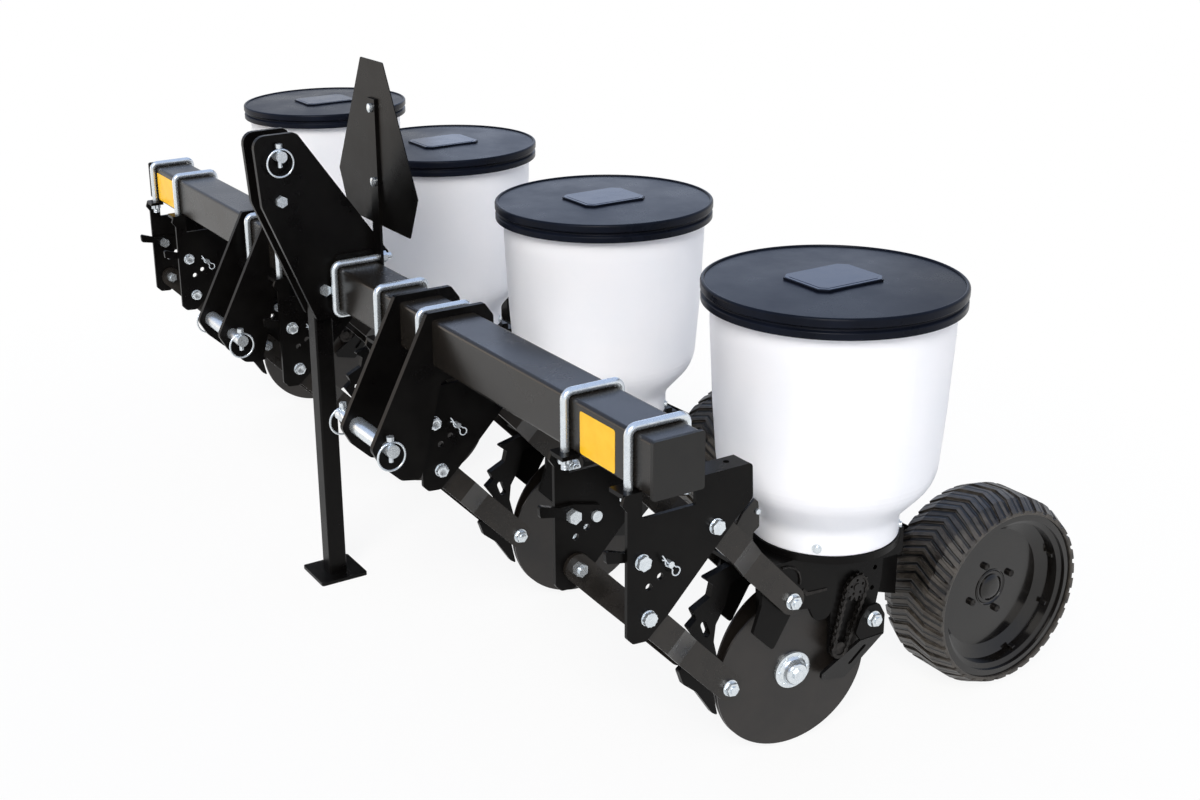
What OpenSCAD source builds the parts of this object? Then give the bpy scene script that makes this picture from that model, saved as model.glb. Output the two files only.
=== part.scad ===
// Four row mounted planter on a square toolbar, with a three point hitch mast.
// Origin: centre of the sole of the parking stand, on the ground.
// +X runs along the toolbar, +Y points to the rear and +Z up.

/* [Toolbar] */
// Distance between two neighbouring rows
row_spacing = 762; // [700:2:900]
// Length of the square tube
bar_length = 2594; // [2580:2:2800]
// Outside width of the square tube
bar_width = 101.6; // [95:0.2:104]
// Wall of the square tube
bar_wall = 6.35; // [4:0.05:10]
// Rounding of the tube's outer corners
bar_corner = 8; // [7:0.5:10]
// Height of the tube's centre above the ground
bar_height = 726.5; // [710:0.5:760]
// Thickness of the flange of an end cap
cap_flange = 8; // [4:0.5:12]

/* [Stand and mast] */
// Distance from the stand's centre back to the tube's centre
bar_behind_stand = 76; // [75:0.5:80]
// Outside width of the stand's square tube
stand_width = 44.4; // [40:0.2:46]
// Wall of the stand's square tube
stand_wall = 4; // [3:0.5:6]
// Side of the stand's square foot plate
foot_side = 118; // [90:1:150]
// Thickness of the foot plate
foot_thick = 8; // [5:0.5:12]
// Inner gap between the two mast plates
mast_gap = 51; // [48:0.5:60]
// Thickness of a mast plate
mast_plate = 12.7; // [10:0.1:14]
// Radius of the pin for the upper link
top_pin_r = 12.7; // [10:0.1:13.5]

/* [Lower hitch] */
// Sideways place of the middle of each lower hitch pair
hitch_half_spacing = 443; // [440:1:446]
// Inner gap between the two plates of a pair
hitch_gap = 134; // [120:1:136]
// Thickness of a hitch plate
hitch_plate = 12.7; // [10:0.1:14]
// Radius of the lower hitch pins
low_pin_r = 14.3; // [12:0.1:15]
// Outer radius of the sleeve on a lower pin
sleeve_r = 19; // [17:0.1:22]
// Length of a lower pin beyond its inner plate, where the tractor's link sits
low_pin_inner = 72; // [66:1:80]
// Length of a lower pin beyond its outer plate
low_pin_outer = 28; // [27:1:40]

/* [Clamps] */
// Radius of the round bar of the clamp bolts
clamp_rod_r = 8; // [6:0.25:8]
// Distance of a bracket plate's outer face from the middle of its row
bracket_face = 120; // [119:0.5:122]
// Thickness of a bracket plate
bracket_plate = 8; // [6:0.5:8]

/* [Parallel arms] */
// Length of an arm from pivot to pivot
arm_length = 306; // [290:1:330]
// Slope of the arms below level
arm_slope = 46.4; // [44:0.1:49]
// Width of an arm
arm_width = 54; // [46:1:56]
// Thickness of an arm
arm_thick = 8; // [6:0.5:8]
// Radius of the pivot bolts
pivot_r = 8; // [6:0.25:9]

/* [Opener discs] */
// Radius of a disc
disc_r = 165; // [150:1:168]
// Thickness of a disc
disc_thick = 4; // [3:0.25:4.5]
// Angle that each disc is turned out of the line of travel
disc_toe = 6; // [5:0.25:6.5]
// Angle that each disc leans out at the top
disc_lean = 3; // [2:0.25:3.5]

/* [Hopper] */
// Outer radius of the lid
lid_r = 241; // [236:1:246]
// Height of the lid's rim
lid_rim = 40; // [30:1:50]
// Wall of the hopper
hopper_wall = 4; // [3:0.5:6]
// Radius of the hopper at its mouth
hopper_mouth_r = 222; // [214:1:226]
// Radius of the hopper's neck
hopper_neck_r = 141; // [132:1:150]

/* [Press wheel] */
// Radius of the tyre
tyre_r = 203.2; // [196:0.2:204]
// Width of the tyre
tyre_width = 164; // [150:1:165]
// Radius of the rim where the tyre sits
rim_r = 168; // [164:0.5:172]
// Radius of the wheel's axle
axle_r = 10; // [8:0.5:12]

/* [Hidden] */
$fn = 48;
row_count = 4;
rows = [for (i = [1 : row_count]) i];
function row_x(i) = (i - (row_count + 1) / 2) * row_spacing;

frame_nodes = ["toolbar", "end_caps", "row_brackets", "mast", "hitch_brackets", "hitch_pins",
               "lynch_pins", "clamp_bolts", "frame_bolts", "stand_leg", "sign_post", "sign_plate"];
row_nodes = ["upper_arms", "lower_arms", "unit_frame", "disc_left", "disc_right", "meter_housing",
             "hopper", "hopper_lid", "seed_meter", "drive_chains", "wheel_rim", "wheel_tyre"];

// Clearances
run_gap = 0.05;
side_gap = 0.5;
fit_gap = 0.2;
loose_gap = 1;

// Colours
paint = [0.08, 0.08, 0.085];
dark = [0.13, 0.13, 0.13];
zinc = [0.76, 0.79, 0.8];
milk = [0.92, 0.93, 0.94];
cast = [0.2, 0.2, 0.2];

half_bar = bar_width / 2;
stand_half = stand_width / 2;

// Places in the side view, as [rearward, upward] from the centre of the toolbar
upper_front = [110, -152];
pivot_drop = [-141, -137];
lower_front = upper_front + pivot_drop;
arm_run = arm_length * [cos(arm_slope), -sin(arm_slope)];
upper_rear = upper_front + arm_run;
lower_rear = lower_front + arm_run;
lever_pivot = [-44, -180];
lever_pin = [7, -193];
ground = -bar_height;
disc_above_ground = 4;
disc_centre = [372, ground + disc_above_ground + disc_r * cos(disc_lean)];
// Half gap between the two discs where they come closest
disc_nip = 0.7;
disc_offset = disc_r * sqrt(pow(sin(disc_toe), 2) + pow(sin(disc_lean), 2)) + disc_thick / 2 + disc_nip;
meter_centre = [490, -397];
wheel_centre = [891, ground + tyre_r];
hopper_y = 456;
hopper_bottom = -283;
hopper_top = 164;
lid_top = 207.5;
arm_front_x = bracket_face - bracket_plate - side_gap;
arm_rear_x = 80;

// Corner points, each rounded with its own radius, as one list of points
function toward(a, b) = (b - a) / norm(b - a);
function corner(a, b, c, r) =
    let (u = toward(b, a), v = toward(b, c), half = acos(u * v) / 2)
    let (o = b + toward([0, 0], u + v) * r / sin(half), p = b + u * r / tan(half), q = b + v * r / tan(half))
    let (s = atan2(p.y - o.y, p.x - o.x), e = atan2(q.y - o.y, q.x - o.x), w = (e - s + 540) % 360 - 180)
    r == 0 ? [b] : [for (k = [0 : 5]) o + r * [cos(s + w * k / 5), sin(s + w * k / 5)]];
function rounded(pts, radii) =
    let (n = len(pts))
    [for (i = [0 : n - 1]) each corner(pts[(i + n - 1) % n], pts[i], pts[(i + 1) % n],
                                       is_list(radii) ? radii[i] : radii)];

// A flat piece drawn in the side view, from x0 for a thickness t
module side_plate(x0, t) {
    translate([x0, 0, 0]) rotate([90, 0, 90]) linear_extrude(t) children();
}

// A round rod along X at a place of the side view
module rod(x0, x1, r, at, sides = 48) {
    translate([x0, at.x, at.y]) rotate([0, 90, 0]) cylinder(h = x1 - x0, r = r, $fn = sides);
}

// A hexagon bolt head or nut along X
module hex(x0, x1, r, at) {
    rod(x0, x1, r * 1.7, at, 6);
}

module square_round(w, r) {
    square([w - 2 * r, w], center = true);
    square([w, w - 2 * r], center = true);
    for (x = [-1, 1], y = [-1, 1]) translate([x * (w / 2 - r), y * (w / 2 - r)]) circle(r = r);
}

// A square tube along Z
module square_tube(w, wall, r, h) {
    linear_extrude(h) difference() {
        square_round(w, r);
        square_round(w - 2 * wall, max(r - wall, 1));
    }
}

module at_bar() {
    translate([0, bar_behind_stand, bar_height]) children();
}

module at_row(i) {
    translate([row_x(i), bar_behind_stand, bar_height]) children();
}

module both_sides() {
    children();
    mirror([1, 0, 0]) children();
}

// Toolbar: one square tube with two plastic end caps

module toolbar() {
    color(paint) at_bar() translate([-bar_length / 2, 0, 0]) rotate([0, 90, 0])
        square_tube(bar_width, bar_wall, bar_corner, bar_length);
}

module end_caps() {
    plug = bar_width - 2 * bar_wall - 2 * fit_gap;
    plug_depth = 25;
    color(dark) at_bar() both_sides() translate([bar_length / 2, 0, 0]) rotate([0, 90, 0]) {
        linear_extrude(cap_flange) square_round(bar_width + 3, 5);
        translate([0, 0, -plug_depth]) linear_extrude(plug_depth + 1) square_round(plug, 3);
    }
}

// Row brackets: two bent side plates under the toolbar at each row, with a lever inside each

bracket_top = -half_bar;
tab_front = -84;
tab_back = -44;
flange_front = 45;
flange_back = 186;
notch_back = 66;
notch_depth = 50;
tab_reach = 46;

function bracket_outline() = rounded([
    [tab_front + 6, bracket_top], [tab_back, bracket_top], [tab_back, bracket_top - notch_depth],
    [notch_back, bracket_top - notch_depth], [notch_back, bracket_top], [flange_back, bracket_top],
    [189, -117], [151, -151], [13, -292], [-34, -333], [-62, -331], [tab_front + 10, -318],
    [tab_front + 10, -82], [tab_front, -68]],
    [4, 0, 3, 3, 0, 8, 8, 10, 14, 10, 10, 8, 4, 4]);

module bracket_side() {
    web_x = bracket_face - bracket_plate;
    hole = clamp_rod_r + loose_gap / 2;
    difference() {
        union() {
            side_plate(web_x, bracket_plate) polygon(bracket_outline());
            translate([web_x - tab_reach + bracket_plate, tab_front + 4, bracket_top - bracket_plate])
                cube([tab_reach - bracket_plate / 2, tab_back - tab_front - 4, bracket_plate]);
            translate([web_x - tab_reach + bracket_plate, flange_front, bracket_top - bracket_plate])
                cube([tab_reach, flange_back - flange_front - 6, bracket_plate]);
        }
        for (y = [-1, 1]) translate([clamp_offset, y * clamp_leg, bracket_top - bracket_plate - 1])
            cylinder(h = bracket_plate + 2, r = hole);
        translate([web_x - 20, 150, bracket_top - bracket_plate - 1]) cylinder(h = bracket_plate + 2, r = 6);
        for (p = [upper_front, lower_front, lever_pivot])
            rod(web_x - 1, bracket_face + 1, pivot_r + run_gap, p);
        for (p = lever_holes) rod(web_x - 1, bracket_face + 1, lever_hole_r, p);
    }
}

// Holes on an arc about the lever's pivot, for the pin that sets the lever
lever_arm = norm(lever_pin - lever_pivot);
lever_hole_r = 6.5;
lever_angle = atan2(lever_pin.y - lever_pivot.y, lever_pin.x - lever_pivot.x);
lever_holes = [for (k = [0 : 2]) lever_pivot + lever_arm * [cos(lever_angle - 30 * k), sin(lever_angle - 30 * k)]];

// The lever inside each side plate, which pivots on a bolt and is set by a pin
module lever() {
    side_plate(web_x - lever_room + fit_gap, lever_room - 2 * fit_gap) difference() {
        polygon(rounded([[-112, -146], [-72, -160], [-40, -160], [24, -176], [24, -208], [-30, -204],
                         [-70, -178], [-110, -170]], [5, 0, 8, 12, 12, 8, 0, 5]));
        translate(lever_pivot) circle(r = pivot_r + run_gap);
        translate(lever_pin) circle(r = lever_hole_r);
    }
}

module row_brackets() {
    color(paint) for (i = rows) at_row(i) both_sides() {
        bracket_side();
        lever();
    }
}

// Clamp bolts: square U bolts that hold the brackets, and one that holds the sign post

clamp_leg = half_bar + clamp_rod_r + fit_gap;
clamp_nut_r = clamp_rod_r * 1.7;
clamp_offset = bracket_face - bracket_plate - clamp_nut_r * cos(30) - 2 * fit_gap;
clamp_bend = clamp_rod_r + 7;
nut_height = 14;
stud_end = 12;

// A U bolt about the toolbar, open at the bottom, with nuts on its legs at nut_at
module u_bolt(leg_end, nut_at) {
    straight = clamp_leg - clamp_bend;
    for (s = [-1, 1]) {
        translate([0, s * clamp_leg, leg_end]) cylinder(h = straight - leg_end, r = clamp_rod_r);
        translate([0, s * straight, straight]) rotate([90, 0, s * 90])
            rotate_extrude(angle = 90) translate([clamp_bend, 0]) circle(r = clamp_rod_r);
        translate([0, s * clamp_leg, nut_at - nut_height]) rotate(30)
            cylinder(h = nut_height, r = clamp_nut_r, $fn = 6);
    }
    translate([0, -straight, clamp_leg]) rotate([-90, 0, 0]) cylinder(h = 2 * straight, r = clamp_rod_r);
}

post_x = 58;
post_width = 38;
post_thick = 6.4;

module clamp_bolts() {
    nut_at = bracket_top - bracket_plate;
    color(zinc) {
        for (i = rows, s = [-1, 1]) at_row(i) translate([s * clamp_offset, 0, 0])
            u_bolt(nut_at - nut_height - stud_end, nut_at);
        at_bar() translate([post_x, 0, 0]) rotate([90, 0, 0])
            u_bolt(-half_bar - post_thick - nut_height - stud_end, -half_bar - post_thick);
    }
}

// Frame bolts: pivots of the arms and levers, and the bolts of the mast, the stand and the sign

web_x = bracket_face - bracket_plate;
lever_room = 10;
bolt_head = 10;
mast_face = mast_gap / 2 + mast_plate;
mast_bolt = [-168, 217];
stand_pivot = [-bar_behind_stand, -2];
sign_bolts = [236, 404];
sign_bolt_r = 5;

module row_bolts() {
    nut_x = web_x - 2 * side_gap - arm_thick;
    lever_nut_x = web_x - lever_room;
    for (p = [upper_front, lower_front]) {
        rod(nut_x - nut_height - 4, bracket_face + 1, pivot_r, p);
        hex(bracket_face, bracket_face + bolt_head, pivot_r, p);
        hex(nut_x - nut_height, nut_x, pivot_r, p);
    }
    rod(lever_nut_x - nut_height, bracket_face + 1, pivot_r, lever_pivot);
    hex(bracket_face, bracket_face + bolt_head, pivot_r, lever_pivot);
    hex(lever_nut_x - nut_height, lever_nut_x, pivot_r, lever_pivot);
    rod(lever_nut_x - 6, bracket_face + 14, lever_hole_r - side_gap, lever_pin);
    rod(lever_nut_x - 6, lever_nut_x, lever_hole_r + 4, lever_pin);
}

module cross_bolt(at, r) {
    rod(-mast_face - 1, mast_face + 1, r, at);
    both_sides() hex(mast_face, mast_face + bolt_head, r, at);
}

module frame_bolts() {
    color(zinc) {
        for (i = rows) at_row(i) both_sides() row_bolts();
        at_bar() {
            cross_bolt(mast_bolt, pivot_r);
            cross_bolt(stand_pivot, pivot_r);
            for (z = sign_bolts) translate([post_x, half_bar, z]) rotate([-90, 0, 0]) {
                translate([0, 0, -5]) cylinder(h = 5, r = sign_bolt_r * 1.7, $fn = 6);
                translate([0, 0, -1]) cylinder(h = post_thick + sign_thick + 8, r = sign_bolt_r);
            }
        }
    }
}

// Arms: flat bars with an offset bend, upper and lower, one on each side

module arm() {
    bend_from = 95;
    bend_to = 165;
    reach = arm_width / 2 + 2;
    inner = arm_rear_x - arm_thick;
    outer = arm_front_x;
    lean = arm_thick * 0.2;
    difference() {
        intersection() {
            translate([0, 0, -arm_width / 2 - 1]) linear_extrude(arm_width + 2) polygon([
                [-reach, outer], [bend_from + lean, outer], [bend_to + lean, arm_rear_x],
                [arm_length + reach, arm_rear_x], [arm_length + reach, inner], [bend_to - lean, inner],
                [bend_from - lean, outer - arm_thick], [-reach, outer - arm_thick]]);
            rotate([-90, 0, 0]) translate([0, 0, inner - 1]) linear_extrude(outer - inner + 2) union() {
                circle(d = arm_width);
                translate([0, -arm_width / 2]) square([arm_length, arm_width]);
                translate([arm_length, 0]) circle(d = arm_width);
            }
        }
        translate([0, inner - 1, 0]) rotate([-90, 0, 0]) {
            cylinder(h = outer, r = pivot_r + run_gap);
            translate([arm_length, 0, 0]) cylinder(h = outer, r = pivot_r + run_gap);
        }
    }
}

// Puts an arm, drawn along X with its thickness along Y, at a front pivot
module place_arm(at) {
    translate([0, at.x, at.y]) rotate([-arm_slope, 0, 0]) rotate([0, 0, 90]) mirror([0, 1, 0]) children();
}

module upper_arms(i) {
    color(paint) at_row(i) both_sides() place_arm(upper_front) arm();
}

module lower_arms(i) {
    color(paint) at_row(i) both_sides() place_arm(lower_front) arm();
}

// Mast: two plates over the toolbar, with a spacer between them and a foot beside each

top_pin = [-170, 321];

module mast_half() {
    side_plate(mast_gap / 2, mast_plate) difference() {
        polygon(rounded([[-224, 366], [-122, 366], [88, 64], [88, half_bar], [-half_bar, half_bar],
                         [-half_bar, -72], [-98, -72], [-212, 208]], [26, 18, 5, 0, 1, 6, 10, 40]));
        translate(top_pin) circle(r = top_pin_r + run_gap);
        translate(mast_bolt) circle(r = pivot_r + run_gap);
        translate(stand_pivot) circle(r = pivot_r + run_gap);
    }
    side_plate(mast_face, mast_foot) polygon(rounded([[-48, half_bar], [46, half_bar], [46, 77], [-48, 77]],
                                                     [0, 0, 8, 8]));
}

mast_foot = 9;
mast_spacer_r = 14;

module mast() {
    color(paint) at_bar() {
        both_sides() mast_half();
        side_plate(-mast_gap / 2, mast_gap) translate(mast_bolt) difference() {
            circle(r = mast_spacer_r);
            circle(r = pivot_r + run_gap);
        }
    }
}

// Lower hitch: a pair of plates round the toolbar on each side, with a pin, a sleeve and lynch pins

low_pin = [-162, -202];
hitch_inner = hitch_half_spacing - hitch_gap / 2 - hitch_plate;
hitch_outer = hitch_half_spacing + hitch_gap / 2 + hitch_plate;

module hitch_outline() {
    difference() {
        polygon(rounded([[-60, 66], [72, 66], [92, 38], [92, -62], [56, -76], [-34, -84], [-80, -262],
                         [-90, -290], [-134, -282], [-176, -242], [-198, -202], [-185, -177]],
                        [6, 6, 8, 10, 10, 14, 10, 12, 20, 24, 18, 10]));
        square_round(bar_width, bar_corner);
        translate(low_pin) circle(r = low_pin_r + run_gap);
    }
}

module hitch_brackets() {
    color(paint) at_bar() both_sides() for (x = [hitch_inner, hitch_outer - hitch_plate])
        side_plate(x, hitch_plate) hitch_outline();
}

lynch_r = 5;
lynch_from_end = 14;
low_lynch = [hitch_inner - low_pin_inner + lynch_from_end, hitch_outer + low_pin_outer - lynch_from_end];
top_stub = 30;

module cross_hole(x, at) {
    translate([x, at.x, at.y - 30]) cylinder(h = 60, r = lynch_r + run_gap);
}

module hitch_pins() {
    sleeve = hitch_gap - 2 * side_gap;
    color(zinc) at_bar() {
        both_sides() {
            difference() {
                rod(hitch_inner - low_pin_inner, hitch_outer + low_pin_outer, low_pin_r, low_pin);
                for (x = low_lynch) cross_hole(x, low_pin);
            }
            difference() {
                rod(hitch_half_spacing - sleeve / 2, hitch_half_spacing + sleeve / 2, sleeve_r, low_pin);
                rod(hitch_half_spacing - sleeve, hitch_half_spacing + sleeve, low_pin_r + fit_gap, low_pin);
            }
        }
        difference() {
            rod(-mast_face - top_stub, mast_face + top_stub, top_pin_r, top_pin);
            both_sides() cross_hole(mast_face + top_stub - lynch_from_end, top_pin);
        }
    }
}

// A lynch pin through a cross hole, with its ring hung round the end of the pin
module lynch_pin(x, at, pin_r, side) {
    ring_r = 30.5;
    wire = 2.2;
    neck = x + side * 3;
    drop = ring_r - wire - pin_r - side_gap;
    translate([x, at.x, at.y - pin_r - 12]) cylinder(h = 2 * pin_r + 18, r = lynch_r);
    translate([x, at.x, at.y + pin_r + 6]) cylinder(h = 9, r = 8);
    translate([neck, at.x, at.y - drop]) rotate([0, 90, 0]) rotate_extrude()
        translate([ring_r, 0]) circle(r = wire);
}

module lynch_pins() {
    color(zinc) at_bar() {
        both_sides() {
            lynch_pin(low_lynch[0], low_pin, low_pin_r, -1);
            lynch_pin(low_lynch[1], low_pin, low_pin_r, 1);
            lynch_pin(mast_face + top_stub - lynch_from_end, top_pin, top_pin_r, 1);
        }
    }
}

// Parking stand: a square tube with a round top on a pivot bolt, and a foot plate

module stand_leg() {
    pivot_z = bar_height + stand_pivot.y;
    color(paint) {
        difference() {
            union() {
                translate([0, 0, foot_thick]) square_tube(stand_width, stand_wall, 5, pivot_z - foot_thick);
                translate([-stand_half, 0, pivot_z]) rotate([0, 90, 0]) difference() {
                    cylinder(h = stand_width, r = stand_half);
                    translate([0, 0, stand_wall]) cylinder(h = stand_width - 2 * stand_wall,
                                                           r = stand_half - stand_wall);
                    translate([0, -stand_width, -1]) cube([stand_width, 2 * stand_width, stand_width + 2]);
                }
            }
            translate([-stand_width, 0, pivot_z]) rotate([0, 90, 0]) cylinder(h = 2 * stand_width,
                                                                              r = pivot_r + run_gap);
        }
        linear_extrude(foot_thick) square_round(foot_side, 6);
    }
}

// Sign post and warning sign behind the toolbar

sign_thick = 2;

module sign_post() {
    post_low = -84;
    post_high = 425;
    color(paint) at_bar() translate([post_x, half_bar, 0]) difference() {
        translate([-post_width / 2, 0, post_low]) cube([post_width, post_thick, post_high - post_low]);
        for (z = [-clamp_leg, clamp_leg]) translate([0, -1, z]) rotate([-90, 0, 0])
            cylinder(h = post_thick + 2, r = clamp_rod_r + fit_gap);
        for (z = sign_bolts) translate([0, -1, z]) rotate([-90, 0, 0])
            cylinder(h = post_thick + 2, r = sign_bolt_r + run_gap);
    }
}

module sign_plate() {
    top_half = 57;
    wide_half = 204;
    low_half = 160;
    color(dark) at_bar() translate([post_x, half_bar + post_thick + sign_thick, 0]) rotate([90, 0, 0])
        linear_extrude(sign_thick) difference() {
            polygon(rounded([[-top_half, 510], [top_half, 510], [wide_half, 233], [low_half, 137],
                             [-low_half, 137], [-wide_half, 233]], 6));
            for (z = sign_bolts) translate([0, z]) circle(r = sign_bolt_r + run_gap);
        }
}

// Row unit: the frame between the discs, with the hopper seat, the wheel arm and the scrapers

seat_top = hopper_bottom;
seat_ring = 14;
deck_top = seat_top - seat_ring;
deck = 8;
deck_low = deck_top - deck;
cheek_x = 60;
cheek = 8;
gear_x = 50;
sprocket_x = 62;
far_sprocket_x = 91;
sprocket_thick = 5;
arm_x = 100;
wheel_arm = 12;
beam_front = 600;
beam_back = 664;
beam_near = -10;

module cheek_outline() {
    polygon(rounded([[262, deck_low], [600, deck_low], [600, -352], [440, -352], [434, -410], [420, -442],
                     [388, -440], [372, -408], [332, -402], [288, -472], [240, -424], [258, -372]],
                    [0, 0, 10, 4, 12, 18, 18, 8, 6, 6, 6, 10]));
}

module gear_outline() {
    difference() {
        polygon(rounded([[440, -340], [545, -340], [561, -356], [559, -400], [548, -450], [546, -490],
                         [515, -494], [480, -462], [470, -536], [436, -536], [434, -420]],
                        [6, 6, 4, 4, 6, 14, 14, 6, 14, 14, 10]));
        for (p = [[541, -372], [536, -414], [512, -432]]) translate(p) circle(r = 5);
        translate(meter_centre) circle(r = meter_shaft_r + loose_gap);
    }
}

module shank_outline() {
    polygon(rounded([[296, deck_top], [394, deck_top], [394, -480], [408, -600], [360, -642], [326, -604],
                     [316, -520]], [0, 0, 20, 12, 10, 12, 20]));
}

module front_leg_outline() {
    difference() {
        polygon(rounded([[172, -320], [262, -300], [262, -334], [232, -344], [222, -385], [200, -420],
                         [196, -455], [206, -495], [204, -528], [172, -534], [148, -492], [162, -446],
                         [138, -411], [156, -397], [147, -378], [186, -360], [192, -336]],
                        [3, 0, 4, 6, 10, 10, 10, 10, 12, 14, 10, 4, 3, 3, 3, 4, 3]));
        hull() for (p = [[172, -412], [180, -434]]) translate(p) circle(r = 7);
    }
}

module guard_outline() {
    polygon(rounded([[142, -478], [118, -495], [129, -526], [160, -552], [197, -608], [210, -617], [206, -599],
                     [198, -560], [192, -536], [170, -506]], [3, 4, 8, 12, 4, 2, 6, 12, 6, 4]));
}

scraper_bolt = [527, -470];
scraper_x = 70;
scraper_thick = 6;
scraper_bend = -511;
scraper_tip = [492, -610];
scraper_gap = 0.6;
scraper_tip_x = disc_offset + (disc_thick / 2 + scraper_gap
                               + (scraper_tip.x - disc_centre.x) * sin(disc_toe) * cos(disc_lean)
                               + (scraper_tip.y + 6 - disc_centre.y) * sin(disc_lean)) / (cos(disc_toe) * cos(disc_lean));
scraper_lean = asin((scraper_x - scraper_tip_x) / (scraper_bend - scraper_tip.y));

module scraper() {
    side_plate(scraper_x, scraper_thick) difference() {
        polygon(rounded([[494, -462], [512, -440], [540, -440], [556, -468], [556, -512], [500, -512],
                         [484, -490]], [8, 8, 12, 12, 4, 4, 8]));
        translate(scraper_bolt) circle(r = pivot_r + run_gap);
    }
    translate([scraper_x, 0, scraper_bend]) rotate([0, scraper_lean, 0]) translate([0, 0, -scraper_bend])
        side_plate(0, scraper_thick) difference() {
            polygon(rounded([[495, -506], [554, -506], scraper_tip, [428, -592], [424, -574]], [0, 0, 5, 8, 5]));
            hull() for (p = [[512, -528], [492, -566]]) translate(p) circle(r = 5);
        }
    rod(gear_x + cheek, scraper_x, 14, scraper_bolt);
    rod(gear_x, scraper_x + scraper_thick + 12, pivot_r, scraper_bolt);
}

// The stub that a disc runs on, turned and leaned like the disc
module disc_place(side) {
    translate([side * disc_offset, disc_centre.x, disc_centre.y])
        rotate([0, 0, side < 0 ? 180 : 0]) rotate([0, disc_lean, -side * disc_toe]) children();
}

spindle_r = 10;
spindle_end = 17;

module spindle(side) {
    disc_place(side) translate([-disc_offset, 0, 0]) rotate([0, 90, 0])
        cylinder(h = disc_offset + spindle_end, r = spindle_r);
}

module rear_pivot(at, r, base_r) {
    both_sides() {
        rod(cheek_x, arm_rear_x - arm_thick - side_gap, base_r, at);
        rod(cheek_x, arm_rear_x + 8, r, at);
    }
}

module wheel_arm_outline() {
    difference() {
        polygon(rounded([[beam_front, -340], [beam_back + 6, -340], [930, -500], [930, -556], [860, -560],
                         [beam_front, -388]], [8, 20, 34, 30, 30, 8]));
    }
}

module unit_frame(i) {
    color(paint) at_row(i) {
        difference() {
            union() {
                both_sides() side_plate(cheek_x, cheek) cheek_outline();
                both_sides() side_plate(gear_x, cheek) gear_outline();
                both_sides() translate([gear_x + cheek - 1, 450, -345])
                    cube([cheek_x - gear_x - cheek + 2, 90, deck_low + 345]);
                translate([-cheek_x - cheek, 232, deck_low]) cube([2 * (cheek_x + cheek), 368, deck]);
            }
            translate([0, hopper_y, deck_low - 1]) cylinder(h = deck + 2, r = throat_r + fit_gap);
            for (s = [-1, 1]) rod(s * cheek_x - 20, s * cheek_x + 20, meter_shaft_r + loose_gap, meter_centre);
        }
        translate([0, hopper_y, deck_top]) difference() {
            cylinder(h = seat_ring, r = hopper_neck_r + 2, $fn = 96);
            translate([0, 0, -1]) cylinder(h = seat_ring + 2, r = hopper_neck_r - 34, $fn = 96);
        }
        side_plate(-8, 16) shank_outline();
        side_plate(-8, 16) front_leg_outline();
        side_plate(-6, 12) guard_outline();
        for (s = [-1, 1]) spindle(s);
        rear_pivot(upper_rear, pivot_r, 15);
        rod(-arm_rear_x + arm_thick + side_gap, arm_rear_x - arm_thick - side_gap, 13, lower_rear);
        rod(-arm_rear_x - 8, arm_rear_x + 8, pivot_r - 2 * side_gap / 2, lower_rear);
        both_sides() scraper();
        side_plate(-cheek_x - cheek, cheek_x + cheek + beam_near)
            polygon([[beam_front - 1, -340], [beam_back, -340], [beam_back, -492], [beam_front - 1, -470]]);
        translate([-cheek_x, beam_front - cheek, -352]) cube([2 * cheek_x, cheek, deck_low + 353]);
        translate([-arm_x - 1, beam_front, -385]) cube([arm_x, beam_back - beam_front, 45]);
        side_plate(-arm_x - wheel_arm, wheel_arm) wheel_arm_outline();
        rod(-arm_x - wheel_arm, wheel_web_x - 2, axle_r, wheel_centre);
        rod(-arm_x - wheel_arm - 12, -arm_x - wheel_arm, axle_r * 1.7, wheel_centre, 6);
    }
}

// Opener discs: a flat disc with a hub that runs on the stub

hub_r = 30;
hub_in = 8;
hub_flange_r = 38;
hub_flange = 5;
hub_cap_r = 21;
hub_cap = 21;

module disc(side) {
    disc_place(side) rotate([0, 90, 0]) difference() {
        union() {
            translate([0, 0, -disc_thick / 2]) cylinder(h = disc_thick, r = disc_r, $fn = 128);
            translate([0, 0, -hub_in]) cylinder(h = hub_in + 1, r = hub_r);
            cylinder(h = disc_thick / 2 + hub_flange, r = hub_flange_r);
            cylinder(h = hub_cap, r = hub_cap_r);
            translate([0, 0, hub_cap - 1]) cylinder(h = 7, r = 11, $fn = 6);
        }
        translate([0, 0, -hub_in - 1]) cylinder(h = hub_in + 1 + spindle_end + loose_gap,
                                                r = spindle_r + run_gap);
    }
}

module disc_left(i) {
    color(dark) at_row(i) disc(-1);
}

module disc_right(i) {
    color(dark) at_row(i) disc(1);
}

// Seed meter: a housing under the hopper, and a seed disc on a shaft with a sprocket at each end

meter_shaft_r = 8;
meter_r = 84;
meter_half = 20;
meter_wall = 5;
seed_disc_r = 72;
throat_r = 27;

module meter_housing(i) {
    color(cast) at_row(i) {
        difference() {
            union() {
                rod(-meter_half, meter_half, meter_r, meter_centre);
                translate([0, hopper_y, -336]) cylinder(h = hopper_bottom + 336 - fit_gap, r = throat_r);
            }
            rod(-meter_half + meter_wall, meter_half - meter_wall, meter_r - meter_wall, meter_centre);
            rod(-meter_half - 1, meter_half + 1, meter_shaft_r + run_gap, meter_centre);
            translate([0, hopper_y, -340]) cylinder(h = 60, r = 13);
        }
        side_plate(-9, 18) polygon([[434, -456], [462, -473], [448, -690], [430, -690]]);
    }
}

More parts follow.
